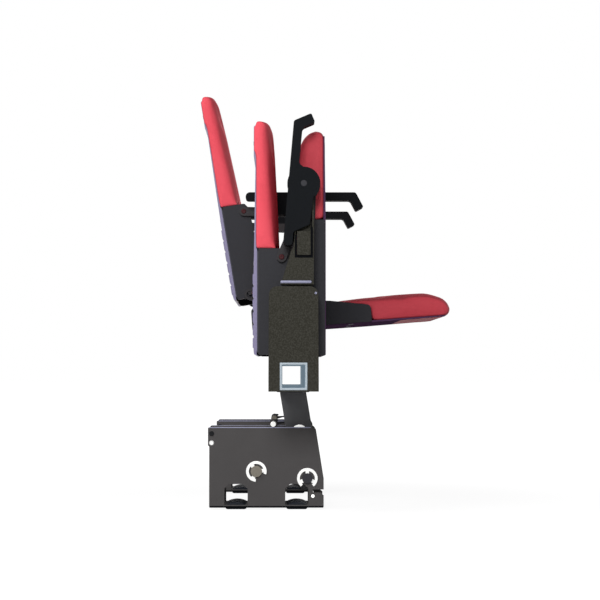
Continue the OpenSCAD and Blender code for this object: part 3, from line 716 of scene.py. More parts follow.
# ---------------------------------------------------------------- repeated fittings
class Scatter:
    """Geometry Nodes trees that repeat a small piece."""

    FACING = "facing"
    TAPER = 0.72
    SOCKET = 0.45
    SOCKET_LIFT = 0.4
    SMOOTH_DEG = 40.0

    @classmethod
    def tree(cls, name: str, sizes: dict[str, float], sides: int,
             material: bpy.types.Material) -> bpy.types.GeometryNodeTree:
        """Makes the tree that sets button-head screws with a hexagon socket on points.

        Args:
            name: The tree's name.
            sizes: The named inputs, Radius and Height, in metres.
            sides: Faces round a head.
            material: The heads' material.

        Returns:
            The tree.
        """
        made = bpy.data.node_groups.new(name, "GeometryNodeTree")
        for way in ("INPUT", "OUTPUT"):
            made.interface.new_socket("Geometry", in_out=way, socket_type="NodeSocketGeometry")
        for label, value in sizes.items():
            socket = made.interface.new_socket(label, in_out="INPUT", socket_type="NodeSocketFloat")
            socket.default_value = value
        bench = Bench(made)
        points, radius, height = (bench.node("NodeGroupInput", out=label) for label in ("Geometry", *sizes))
        head = bench.node("GeometryNodeMeshCone", {}, {
            "Vertices": sides, "Radius Bottom": radius, "Radius Top": radius * cls.TAPER, "Depth": height})
        hexagon = radius * cls.SOCKET
        key = bench.node("GeometryNodeMeshCone", {}, {
            "Vertices": 6, "Radius Bottom": hexagon, "Radius Top": hexagon, "Depth": 4 * sizes["Height"]})
        lift = bench.node("ShaderNodeCombineXYZ", {}, {"Z": height * cls.SOCKET_LIFT})
        key = bench.node("GeometryNodeTransform", {}, {"Geometry": key, "Translation": lift})
        head = bench.node("GeometryNodeMeshBoolean", {"operation": "DIFFERENCE", "solver": "EXACT"},
                          {0: head, 1: key})
        way = bench.node("GeometryNodeInputNamedAttribute", {"data_type": "FLOAT_VECTOR"},
                         {"Name": cls.FACING})
        turn = bench.node("FunctionNodeAlignRotationToVector", {"axis": "Z"}, {"Vector": way})
        heads = bench.node("GeometryNodeInstanceOnPoints", {}, {
            "Points": points, "Instance": head, "Rotation": turn})
        heads = bench.node("GeometryNodeRealizeInstances", {}, {"Geometry": heads})
        heads = bench.node("GeometryNodeSetMaterial", {}, {"Geometry": heads, "Material": material})
        bench.node("NodeGroupOutput", {}, {"Geometry": heads})
        return made

    @classmethod
    def screws(cls, name: str, spots: Sequence[Spot], head: Point2, look: Look,
               sides: int = 20) -> bpy.types.Object:
        """Makes one piece of screws, one on each spot.

        Args:
            name: The piece's name.
            spots: (place, outward direction) pairs.
            head: Radius and height of a head.
            look: The finish.
            sides: Faces round a head.

        Returns:
            The piece, as a plain mesh.
        """
        sizes = {label: value * MM for label, value in zip(("Radius", "Height"), head)}
        mesh = bpy.data.meshes.new(name)
        mesh.from_pydata([Vector(p) * MM for p, _ in spots], [], [])
        facing = mesh.attributes.new(cls.FACING, "FLOAT_VECTOR", "POINT")
        for n, (_, way) in enumerate(spots):
            facing.data[n].vector = Vector(way).normalized()
        obj = new_object(name, mesh)
        mesh.materials.append(look.material())
        mod = obj.modifiers.new("repeat", "NODES")
        mod.node_group = cls.tree(name, sizes, sides, look.material())
        for item in mod.node_group.interface.items_tree:
            if item.item_type == "SOCKET" and item.in_out == "INPUT" and item.name in sizes:
                mod[item.identifier] = sizes[item.name]
        return settle(obj, cls.SMOOTH_DEG)


# ---------------------------------------------------------------- sub-assemblies
@dataclass
class Workshop:
    """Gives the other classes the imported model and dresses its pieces.

    The distances at which points are merged or lie on a plane are in metres.
    """

    frame: dict[str, Any]
    merge: float = 2e-6
    on_plane: float = 1e-6
    flat_deg: float = 0.6

    def body_of(self, node: str) -> str:
        """The body that a node belongs to."""
        return next(b for b, ns in self.frame["record"]["behaviour"]["bodies"].items() if node in ns)

    def slot_of(self, node: str) -> str:
        """The record's material slot of a node."""
        return next(s["material_slot"] for s in self.frame["record"]["subparts"] if s["node"] == node)

    def paint(self, node: str, look: Look) -> None:
        """Gives a solid its finish.

        Args:
            node: The node's name.
            look: Its finish.
        """
        mesh = self.frame["nodes"][node].data
        mesh.materials.clear()
        mesh.materials.append(look.material())

    def soften(self, node: str, look: Look, width: float, segments: int = 3,
               angle: float = BEVEL_DEG, cuts: Sequence[Sequence[float]] = ()) -> bpy.types.Object:
        """Stands a copy with rounded edges in for a solid.

        Args:
            node: The node's name.
            look: Its finish.
            width: Width of the rounded edges.
            segments: Faces across an edge.
            angle: Edges sharper than this are rounded.
            cuts: Planes, each as a normal and its distance, that part the flat faces round a hole,
                so that each face is in one piece without a hole.

        Returns:
            The new piece.
        """
        bm = bmesh.new()
        bm.from_mesh(self.frame["nodes"][node].data)
        bmesh.ops.remove_doubles(bm, verts=bm.verts, dist=self.merge)
        for x, y, z, distance in cuts:
            normal = Vector((x, y, z))
            bmesh.ops.bisect_plane(bm, geom=bm.verts[:] + bm.edges[:] + bm.faces[:], dist=self.on_plane,
                                   plane_co=normal * distance * MM, plane_no=normal)
            for edge in bm.edges:
                if all(abs(v.co.dot(normal) - distance * MM) < self.on_plane for v in edge.verts):
                    edge.seam = True
        bmesh.ops.dissolve_limit(bm, angle_limit=math.radians(self.flat_deg), verts=bm.verts,
                                 edges=bm.edges, delimit={"SEAM"})
        obj = settle(bevel(mesh_object(node + "_soft", bm, look.material()), width, segments, angle))
        obj.modifiers.new("flat_faces", "WEIGHTED_NORMAL").keep_sharp = True
        settle(obj, None)
        return self.put(obj, self.body_of(node), self.slot_of(node), node)

    def soften_all(self, numbers: Sequence[int], rows: Sequence[tuple[str, Look, float, int]]) -> None:
        """Rounds the edges of solids that come in numbers.

        Args:
            numbers: The numbers at the end of the nodes' names.
            rows: Start of the name, finish, width of the rounded edges and faces across them.
        """
        for n in numbers:
            for stem, look, width, segments in rows:
                self.soften(f"{stem}_{n}", look, width, segments)

    def spot(self, node: str, start: Vector, way: Vector) -> Spot:
        """Finds where a line meets a solid.

        Args:
            node: The node's name.
            start: Where the line starts, in metres.
            way: Its direction.

        Returns:
            The place and the surface's outward direction.
        """
        mesh = self.frame["nodes"][node].data
        tree = BVHTree.FromPolygons([v.co for v in mesh.vertices], [p.vertices[:] for p in mesh.polygons])
        place, normal, _, _ = tree.ray_cast(start, way)
        if place is None:
            raise ValueError(f"no surface of {node} on the line from {start}")
        return place / MM, normal

    def put(self, obj: bpy.types.Object, body: str, slot: str, *nodes: str) -> bpy.types.Object:
        """Makes a piece ride on a body.

        Args:
            obj: The piece.
            body: The body's name.
            slot: Its material slot in the record; not used.
            *nodes: Solids that it stands for.

        Returns:
            The piece.
        """
        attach(obj, body)
        if nodes:
            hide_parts(*nodes)
        LOG.info("%s on %s, %d faces", obj.name, body, len(obj.data.polygons))
        return obj


@dataclass
class BaseBox:
    """Sheet box with its shafts, rings, feet and latch."""

    shop: Workshop
    plate: float = 4.0
    top: float = 158.5
    rear: float = 111.0
    front: float = -86.0
    # painted highlight: a pale strip along the top edge of each side plate
    top_highlight: Point2 = (-0.9, 0.7)
    top_highlight_proud: float = 0.2
    # painted shadow: a dark strip along the foot of each side plate
    foot_shade: Point2 = (-0.2, 3.0)
    foot_shade_proud: float = 0.5
    foot_shade_ends: Point2 = (1.0, 3.5)
    ear_y: float = 106.4
    bolt_drop: float = 12.0
    rivet_drop: float = 30.0
    ear_head: Point2 = (4.9, 2.2)
    front_hole: Point2 = (-90.0, 25.7)
    front_head: Point2 = (3.4, 1.4)
    foot_rise: float = 0.7
    thumb_z: float = 165.0
    thumb_rise: float = 0.5

    def strips(self, name: str, plates: Sequence[float], outline: Sequence[Corner], proud: float,
               steps: int, look: Look) -> bpy.types.Object:
        """Makes a strip along both side plates of a box.

        Args:
            name: The piece's name.
            plates: Where the side plates start along the row.
            outline: The strip's corners, as (y, z, radius).
            proud: How far it stands out on both sides of a plate.
            steps: Chords in each rounded corner.
            look: Its finish.

        Returns:
            The piece.
        """
        bm = bmesh.new()
        for x in plates:
            add_prism(bm, rounded(outline, steps), x - proud, x + self.plate + proud)
        return settle(mesh_object(name, bm, look.material()))

    def trims(self, i: int) -> None:
        """Adds a pale strip along the top of the side plates as a painted highlight, a dark strip along
        their foot as a painted shadow line, and the buttons in their ears and holes.

        Args:
            i: Which box.
        """
        low, high = (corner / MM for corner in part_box(f"housing_{i}"))
        plates = (low[0], high[0] - self.plate)
        under, over = (self.top + rise for rise in self.top_highlight)
        top_highlight = [(self.front, under, 0.4), (self.rear, under, 0.4), (self.rear, over, 0.6),
                  (self.front, over, 0.6)]
        # the pale strip along the plates' top edge is a painted highlight
        obj = self.strips(f"box_top_highlight_{i}", plates, top_highlight, self.top_highlight_proud, 3, Look.HIGHLIGHT_BEAD)
        self.shop.put(obj, "base", self.shop.slot_of(f"housing_{i}"))
        y0, y1 = low[1] + self.foot_shade_ends[0], high[1] - self.foot_shade_ends[1]
        z0, z1 = (low[2] + rise for rise in self.foot_shade)
        foot_shade = [(y, z, 0.3) for y, z in ((y0, z0), (y1, z0), (y1, z1), (y0, z1))]
        # the dark strip along the plates' foot is a painted shadow line
        obj = self.strips(f"box_foot_shade_{i}", plates, foot_shade, self.foot_shade_proud, 2, Look.MATT)
        self.shop.put(obj, "base", "rubber")
        bolt, rivet = ((self.ear_y, self.top - drop) for drop in (self.bolt_drop, self.rivet_drop))
        for name, (y, z), head, look, slot in (
                ("ear_bolts", bolt, self.ear_head, Look.LEVER, "black_plastic"),
                ("ear_rivets", rivet, self.ear_head, Look.ZINC, "zinc"),
                # the front buttons take the glowing plug finish: painted light
                ("front_rivets", self.front_hole, self.front_head, Look.PLUG, "zinc")):
            spots = [((x, y, z), (way, 0, 0)) for x, way in zip((low[0], high[0]), WAYS)]
            self.shop.put(Scatter.screws(f"{name}_{i}", spots, head, look), "base", slot)

    def build(self) -> None:
        """Dresses both boxes."""
        for i in SEATS:
            self.trims(i)
            self.shop.soften_all((i,), (
                ("housing", Look.BASE, 1.0, 2), ("pivot_shaft", Look.PIN, 0.8, 2),
                ("stop_shaft", Look.SHAFT, 0.8, 2), ("snap_rings", Look.ZINC, 0.35, 2)))
            feet = self.shop.soften(f"feet_{i}", Look.FOOT, 1.5, 3, 50)
            for v in feet.data.vertices:
                v.co.z *= self.foot_rise
            # painted shade: the far box's latch pin takes the darker shaft finish, the near one zinc
            self.shop.soften(f"latch_pin_{i}", Look.SHAFT if i else Look.ZINC, 0.4, 2)
            lever = self.shop.soften(f"latch_lever_{i}", Look.LEVER, 1.0)
            for v in lever.data.vertices:
                lowered = self.thumb_z + (v.co.z / MM - self.thumb_z) * self.thumb_rise
                v.co.z = min(v.co.z, lowered * MM)


@dataclass
class RowFrame:
    """Beam, legs, uprights, covers and hangers."""

    shop: Workshop
    wall: float = 4.2
    beam_edge: float = 1.1
    plug: tuple[float, float, float] = (28.4, -63.6, 148.0)
    plug_size: Point2 = (14.9, 4.0)
    plug_edge: tuple[float, int] = (0.6, 2)
    bead: tuple[float, float] = (18.6, 432.0)
    bead_ends: Point2 = (-84.5, -27.5)
    bead_radius: float = 2.7
    bead_edge: tuple[float, int] = (1.6, 3)
    rivet: tuple[float, float, float] = (20.0, -92.6, 411.5)
    rivet_head: Point2 = (2.4, 1.2)
    pocket: tuple[float, float, float, float] = (-87.2, -53.8, 477.0, 533.0)
    slant: float = 14.0
    # painted shade: the dark strip in the gap round each pocket
    shade_thick: float = 3.8
    shade_ends: Point2 = (16.5, 18.7)

    def beam(self) -> None:
        """Models the square tube with rounded edges, open at both ends."""
        low, high = (Vector(corner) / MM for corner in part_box("beam_tube"))
        bm = bmesh.new()
        rings = []
        for x in (low.x, high.x):
            for inset in (0.0, self.wall):
                y0, y1, z0, z1 = low.y + inset, high.y - inset, low.z + inset, high.z - inset
                rings.append([bm.verts.new(Vector((x, y, z)) * MM)
                              for y, z in ((y0, z0), (y1, z0), (y1, z1), (y0, z1))])
        for a, b in ((0, 1), (1, 3), (3, 2), (2, 0)):
            for k in range(4):
                n = (k + 1) % 4
                face = bm.faces.new((rings[a][k], rings[a][n], rings[b][n], rings[b][k]))
                # the inner walls take the glowing bore finish: painted light
                face.material_index = int((a, b) == (1, 3))
        bmesh.ops.recalc_face_normals(bm, faces=bm.faces)
        obj = mesh_object("beam_square", bm, Look.BEAM.material())
        obj.data.materials.append(Look.BORE.material())
        settle(bevel(obj, self.beam_edge))
        self.shop.put(obj, "row", self.shop.slot_of("beam_tube"), "beam_tube")

    def rods(self, name: str, spots: Sequence[Sequence[float]], axis: str, size: Point2, sides: int,
             edge: tuple[float, int], look: Look) -> bpy.types.Object:
        """Makes short round rods with rounded ends.

        Args:
            name: The piece's name.
            spots: Their middles.
            axis: The axis about which a quarter turn lays them down.
            size: Their radius and length.
            sides: Faces round each of them.
            edge: Width of the rounded edges and faces across them.
            look: Their finish.

        Returns:
            The piece.
        """
        bm = bmesh.new()
        for spot in spots:
            place = Matrix.Translation(Vector(spot) * MM) @ Matrix.Rotation(math.pi / 2, 4, axis)
            bmesh.ops.create_cone(bm, cap_ends=True, segments=sides, radius1=size[0] * MM,
                                  radius2=size[0] * MM, depth=size[1] * MM, matrix=place)
        return settle(bevel(mesh_object(name, bm, look.material()), *edge))

    def fittings(self) -> None:
        """Adds the plugs of the hand holes, the beads under the uprights' covers and the rivets, whose pale
        colour is a painted highlight.
        """
        off, y, z = self.plug
        plugs = [(x + way * off, y, z) for x in SEAT_X for way in WAYS]
        # painted light: the hand-hole plugs glow
        obj = self.rods("hand_hole_plugs", plugs, "Y", self.plug_size, 40, self.plug_edge, Look.PLUG)
        self.shop.put(obj, "row", "zinc")
        off, z = self.bead
        start, end = self.bead_ends
        beads = [(x + way * off, (start + end) / 2, z) for x in UPRIGHT_X for way in WAYS]
        size = (self.bead_radius, end - start)
        # the beads' pale colour is a painted highlight on the ledge under each cover
        obj = self.rods("cover_beads", beads, "X", size, 20, self.bead_edge, Look.HIGHLIGHT_BEAD)
        self.shop.put(obj, "row", "textured_cover")
        off, y, z = self.rivet
        spots = [((x + way * off, y, z), (way, 0, 0)) for x in UPRIGHT_X for way in WAYS]
        # the rivets' pale colour is a painted highlight
        self.shop.put(Scatter.screws("bracket_rivets", spots, self.rivet_head, Look.HIGHLIGHT_BEAD), "row", "zinc")

    def pocket_shade(self) -> None:
        """Adds a dark strip round the foot of each upright's pocket as painted shade in the gap there."""
        bm = bmesh.new()
        y0, y1, z0, z1 = self.pocket
        thick, low_top = self.shade_thick, z1 - self.slant
        outline = [(y0, z1), (y0, z0, 1), (y1, z0, 1), (y1, low_top), (y1 - thick, low_top),
                   (y1 - thick, z0 + thick, 0.5), (y0 + thick, z0 + thick, 0.5), (y0 + thick, z1)]
        for x in UPRIGHT_X:
            for way in WAYS:
                add_prism(bm, rounded(outline, 3), *sorted(x + way * end for end in self.shade_ends))
        obj = settle(mesh_object("pocket_painted_shade", bm, Look.MATT.material()))
        self.shop.put(obj, "row", "rubber")

    def build(self) -> None:
        """Dresses the frame."""
        self.beam()
        self.fittings()
        self.pocket_shade()
        low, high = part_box("beam_tube")
        through_bore = ((0, 0, 1, (low[2] + high[2]) / 2 / MM),)
        self.shop.soften_all(SEATS, (("leg", Look.LEG, 1.2, 2), ("leg_core", Look.LEG, 0.8, 2),
                                     ("hangers", Look.LINK, 0.6, 2)))
        for k in STANCHIONS:
            self.shop.soften(f"upright_{k}", Look.COVER, 0.8, 2)
            self.shop.soften(f"bracket_{k}", Look.COVER, 2.2, 4, cuts=through_bore)
            self.shop.soften(f"stanchion_{k}", Look.COVER, 1.0)
            self.shop.soften(f"arm_pin_{k}", Look.PIN, 0.8, 2)


@dataclass
class Armrest:
    """Moulded armrest."""

    shop: Workshop
    edge: float = 3.2

    def build(self) -> None:
        """Dresses the armrests."""
        self.shop.soften_all(STANCHIONS, (("armrest", Look.ARM, self.edge, 4),))


@dataclass
class Linkage:
    """Upper and lower links."""

    shop: Workshop
    edge: float = 0.8

    def build(self) -> None:
        """Dresses the links."""
        self.shop.soften_all(SEATS, (("upper_links", Look.LINK, self.edge, 2),
                                     ("lower_links", Look.LINK, self.edge, 2)))


@dataclass(frozen=True)
class Block:
    """One lofted block of a cushion."""

    outline: Sequence[Corner]
    start: float
    end: float
    ease: float = 1.0
    ledge: Sequence[Point2] = ()

    def rest(self, point: Vector) -> Vector:
        """Lifts a point on to the ledge.

        Args:
            point: The point, which is changed; the ledge runs between two points as (along, height).

        Returns:
            The same point.
        """
        if self.ledge and point.y < self.ledge[1][0]:
            (y0, h0), (y1, h1) = self.ledge
            point.x = max(point.x, h0 + (point.y - y0) * (h1 - h0) / (y1 - y0))
        return point


@dataclass
class Pad:
    """A swollen cushion made from blocks that are lofted along the row.

    The end of each block is rounded more at the face of the cushion than at its back and not at all where
    it meets the side covers, and the swollen form is fitted to the room that the seat gives it.
    """

    # name of the point attribute that holds the painted shade of a cushion's turn and back
    TURN_SHADE = "turned"
    CLOTH = {"vertex_group_mass": "sewn", "use_pressure": True, "uniform_pressure_force": 4.0,
             "tension_stiffness": 40, "compression_stiffness": 40, "shear_stiffness": 20,
             "bending_stiffness": 2.0, "quality": 6}

    name: str
    blocks: Sequence[Block]
    face: Point2
    joint: float
    room: tuple[Sequence[float], Sequence[float]]
    edge: float = 16.0
    back_edge: float = 5.0
    depth: float = 34.0
    deepest: float = 0.45
    voxel: float = 5.0
    cap: float = 2.4
    shrink: float = 2.5
    steps: int = 7
    relax: int = 3
    smooth_deg: float = 180.0
    iron: int = 4
    frames: int = 20
    # where the painted shade on the turn and on the back starts and ends
    rim_shade_starts: Point2 = (0.1, 0.25)
    rim_shade_ends: Point2 = (0.72, 0.47)
    back_shade_starts: Point2 = (0.5, 0.8)

    def loft(self, bm: bmesh.types.BMesh, block: Block) -> None:
        """Adds one block with rounded ends.

        Args:
            bm: The mesh that it is added to.
            block: Its outline, counterclockwise, its ends and the share of the full rounding.
        """
        points = rounded(block.outline)
        start, end, ease = block.start, block.end, block.ease
        ways, insets = [], []
        for n, point in enumerate(points):
            along = (points[(n + 1) % len(points)] - points[n - 1]).normalized()
            way = Vector((along.y, -along.x))
            share = unit(0.5 + way.dot(Vector(self.face)))
            butt = point.y < self.joint + 1 and (way.y < -0.5 or (bool(block.ledge) and share <= 0))
            ways.append(way)
            full = self.back_edge + (self.edge - self.back_edge) * share
            insets.append(-self.shrink if butt else full * ease)
        depth = min(self.depth * ease, self.deepest * (end - start))
        turns = [0.5 * math.pi * k / self.steps for k in range(self.steps + 1)]
        ends = [(self.shrink + depth * (1 - math.cos(a)), 1 - math.sin(a)) for a in turns]
        sections = [(start + x, drop) for x, drop in ends]
        sections += [(end - x, drop) for x, drop in reversed(ends)]
        join_loops(bm, [[bm.verts.new(Vector((x, *block.rest(p - w * (self.shrink + i * drop)))) * MM)
                         for p, w, i in zip(points, ways, insets)] for x, drop in sections])

    def fit(self, obj: bpy.types.Object) -> None:
        """Stretches the swollen cushion by a hair to the room that it has.

        Args:
            obj: The cushion.
        """
        places = [v.co for v in obj.data.vertices]
        for axis in range(3):
            low = min(p[axis] for p in places)
            high = max(p[axis] for p in places)
            start, end = (corner[axis] * MM for corner in self.room)
            for p in places:
                p[axis] = start + (p[axis] - low) * (end - start) / (high - low)

    def model(self, look: Look, hold: Callable[[Vector], bool]) -> bpy.types.Object:
        """Makes the cushion in its own frame.

        Args:
            look: Its finish.
            hold: A test that says which points are sewn down.

        Returns:
            The cushion, with its simulation applied.
        """
        bm = bmesh.new()
        for block in self.blocks:
            self.loft(bm, block)
        obj = mesh_object(self.name + "_model", bm, look.material())
        mod = obj.modifiers.new("voxels", "REMESH")
        mod.mode = "VOXEL"
        mod.voxel_size = self.voxel * MM
        settle(obj, None)
        obj.modifiers.new("relax", "SMOOTH").iterations = self.relax
        settle(obj, None)
        self.swell(obj, hold)
        fine = obj.modifiers.new("fine", "SUBSURF")
        fine.levels = fine.render_levels = 1
        settle(obj, self.smooth_deg)
        self.fit(obj)
        self.mark(obj)
        return obj

    def mark(self, obj: bpy.types.Object) -> None:
        """Stores a painted-shade weight for each point: how far it lies on the turn from the face to the
        ends, or on the back.

        Args:
            obj: The cushion.
        """
        face = Vector((0, *self.face))
        turned = obj.data.attributes.new(self.TURN_SHADE, "FLOAT", "POINT")
        for v in obj.data.vertices:
            along = abs(v.normal.x)
            rim = ramp(along, self.rim_shade_starts) * ramp(along, self.rim_shade_ends)
            turned.data[v.index].value = max(rim, ramp(-v.normal.dot(face), self.back_shade_starts))

    def swell(self, obj: bpy.types.Object, hold: Callable[[Vector], bool]) -> None:
        """Blows the cushion up with the cloth solver, holds each point near its start and irons the rest.

        Args:
            obj: The cushion.
            hold: A test that says which points are sewn down.
        """
        start = [v.co.copy() for v in obj.data.vertices]
        group = obj.vertex_groups.new(name=self.CLOTH["vertex_group_mass"])
        group.add([v.index for v in obj.data.vertices if hold(v.co / MM)], 1.0, "REPLACE")
        mod = obj.modifiers.new("cloth", "CLOTH")
        mod.settings.effector_weights.gravity = 0.0
        for key, value in self.CLOTH.items():
            setattr(mod.settings, key, value)
        mod.collision_settings.use_collision = False
        scene = bpy.context.scene
        for n in range(1, self.frames + 1):
            scene.frame_set(n)
        graph = bpy.context.evaluated_depsgraph_get()
        swollen = bpy.data.meshes.new_from_object(obj.evaluated_get(graph))
        obj.modifiers.clear()
        cap = self.cap * MM
        for v, old in zip(swollen.vertices, start):
            step = v.co - old
            if step.length > cap:
                v.co = old + step * (cap / step.length)
        ironed = bmesh.new()
        ironed.from_mesh(swollen)
        for _ in range(self.iron):
            bmesh.ops.smooth_vert(ironed, verts=ironed.verts, factor=0.5, use_axis_x=True, use_axis_y=True,
                                  use_axis_z=True)
        ironed.to_mesh(swollen)
        ironed.free()
        previous = obj.data
        obj.data = swollen
        bpy.data.meshes.remove(previous)
        obj.vertex_groups.clear()
        scene.frame_set(1)


@dataclass
class SeatSizes:
    """Sizes and small fittings that the pan and the back share."""

    half: float = 219.0
    cover_in: float = 181.0
    cover_hold: float = 175.0
    hinge: Point2 = (-70.0, 403.0)
    upper: Point2 = (-81.5, 603.0)
    upper_len: float = 133.0
    upper_fall: float = 67.0
    upper_swing: float = 68.5
    lean: float = 9.5
    pan_swing: float = 86.0
    opened: tuple[float, float] = (0.0, 1.0)
    pad_fill: float = 0.75
    end_gap: float = 0.2
    plain_ease: float = 0.25
    pin_end: float = 225.6
    pin_head: Point2 = (5.2, 1.6)
    screw_head: Point2 = (5.0, 0.9)
    screw_reach: float = 0.2

    def pan_place(self, i: int) -> Matrix:
        """Where a pan's own frame lies at rest."""
        return side(SEAT_X[i], *self.hinge, self.opened[i] * self.pan_swing)

    def back_place(self, i: int) -> Matrix:
        """Where a back's own frame lies at rest.

        Args:
            i: Which seat.

        Returns:
            The place, in metres.
        """
        fall = math.radians(-self.upper_fall)
        lug = Vector((0, self.upper_len * math.cos(fall), self.upper_len * math.sin(fall))) * MM
        return (side(SEAT_X[i], *self.upper, self.opened[i] * self.upper_swing)
                @ Matrix.Translation(lug)
                @ Matrix.Rotation(math.radians(-self.opened[i] * (self.upper_swing + self.lean)), 4, "X"))

    def cushion(self, shop: Workshop, model: bpy.types.Object, part: str, i: int, place: Matrix) -> None:
        """Puts a copy of a cushion on a seat.

        Args:
            shop: The workshop.
            model: The cushion in its own frame.
            part: "pan" or "back".
            i: Which seat.
            place: Where the part's own frame lies.
        """
        pad = copy_at(model, f"{part}_pad_{i}", place)
        shop.put(pad, f"{part}_{i}", "upholstery", f"{part}_cushion_{i}")

    def pins(self, shop: Workshop, i: int) -> None:
        """Adds the dark ends of a back's two link pins, dark red as a painted reflection of the red cushion.

        Args:
            shop: The workshop.
            i: Which seat.
        """
        spots = [(self.back_place(i) @ Vector((way * self.pin_end * MM, 0, 0)) / MM, (way, 0, 0))
                 for way in WAYS]
        obj = Scatter.screws(f"link_pin_ends_{i}", spots, self.pin_head, Look.LINK_PIN)
        shop.put(obj, f"back_{i}", shop.slot_of(f"back_lugs_{i}"))

    def screws(self, shop: Workshop, part: str, i: int, place: Matrix, spots: Sequence[Point2],
               way: Sequence[float]) -> None:
        """Sets screws on a shell.

        Args:
            shop: The workshop.
            part: "pan" or "back".
            i: Which seat.
            place: Where the shell's own frame lies.
            spots: Places in the shell's frame, as (across, along).
            way: The outward direction in the shell's frame.
        """
        out = place.to_3x3() @ Vector(way)
        found = []
        for x, z in spots:
            start = place @ (Vector((x, 0, z)) * MM) + out * self.screw_reach
            found.append(shop.spot(f"{part}_shell_{i}", start, -out))
        shop.put(Scatter.screws(f"{part}_screws_{i}", found, self.screw_head, Look.SCREW), f"{part}_{i}",
                 "pin_steel")


@dataclass
class SeatPan:
    """Tipping seat pan."""

    shop: Workshop
    sizes: SeatSizes
    skirt_low: float = -41.2
    rear: float = 103.0
    cover_front: float = 148.0
    front: float = 318.0
    crown: float = 13.8
    tuck: float = 3.4
    gap: float = 0.6
    nose_gap: float = 0.3
    held_face: float = -34.0
    screws_x: tuple[float, ...] = (-160.0, 0.0, 160.0)
    screws_z: tuple[float, ...] = (-60.0, 105.0, 270.0)

    def cushion(self) -> bpy.types.Object:
        """Makes the cushion in the pan's frame.

        Returns:
            The cushion.
        """
        low, start, front = self.skirt_low, self.cover_front - self.tuck, self.front
        rear_block = [(low, -self.rear, 4), (4, -self.rear, 10), (6, 0, 60), (8, 72, 60), (13, 119, 60),
                      (13.4, 175, 4), (low, 175, 4)]
        ledge = ((60.0, 7.0), (start - 5, -6.5))
        front_block = [(low, start, 2), (-8, start, 2), (-6.5, start - 5, 4), (7.0, 60, 0.6), (8.4, 60, 0.6),
                       (13.2, 119, 60), (self.crown, 200, 60), (self.crown - 0.4, front - 48, 40),
                       (4.5, front - 17, 26), (-8, front - 3, 16), (-21, front, 14), (-34, front - 2, 9),
                       (low, front - 16, 12)]
        inner, outer = self.sizes.cover_in - self.gap, self.sizes.half
        wide, held_z = outer - self.sizes.end_gap, self.cover_front + 6
        blocks = (Block(rear_block, -inner, inner, self.sizes.plain_ease),
                  Block(front_block, -outer, outer, ledge=ledge))
        pad = Pad("pan_cushion", blocks, face=(1.0, 0.0), joint=start,
                  room=((-wide, low, -self.rear), (wide, self.crown, front - self.nose_gap)))
        # the pans' cushion takes the darker copy of the red: painted shade
        return pad.model(Look.PAN_RED_SHADED, lambda p: p.y < self.held_face or (
            p.z < held_z and abs(p.x) > self.sizes.cover_hold))

    def build(self) -> None:
        """Dresses both pans."""
        model = self.cushion()
        spots = [(x, z) for x in self.screws_x for z in self.screws_z]
        for i in SEATS:
            place = self.sizes.pan_place(i)
            self.sizes.cushion(self.shop, model, "pan", i, place)
            # the pan shell's dark maroon is painted shade
            self.shop.soften(f"pan_shell_{i}", Look.UNDER, 1.2)
            self.shop.soften(f"pan_covers_{i}", Look.PANEL, 1.3)
            self.shop.paint(f"pan_board_{i}", Look.WOOD)
            self.shop.paint(f"pan_hinges_{i}", Look.PIN)
            self.sizes.screws(self.shop, "pan", i, place, spots, (0, -1, 0))
        bpy.data.objects.remove(model)


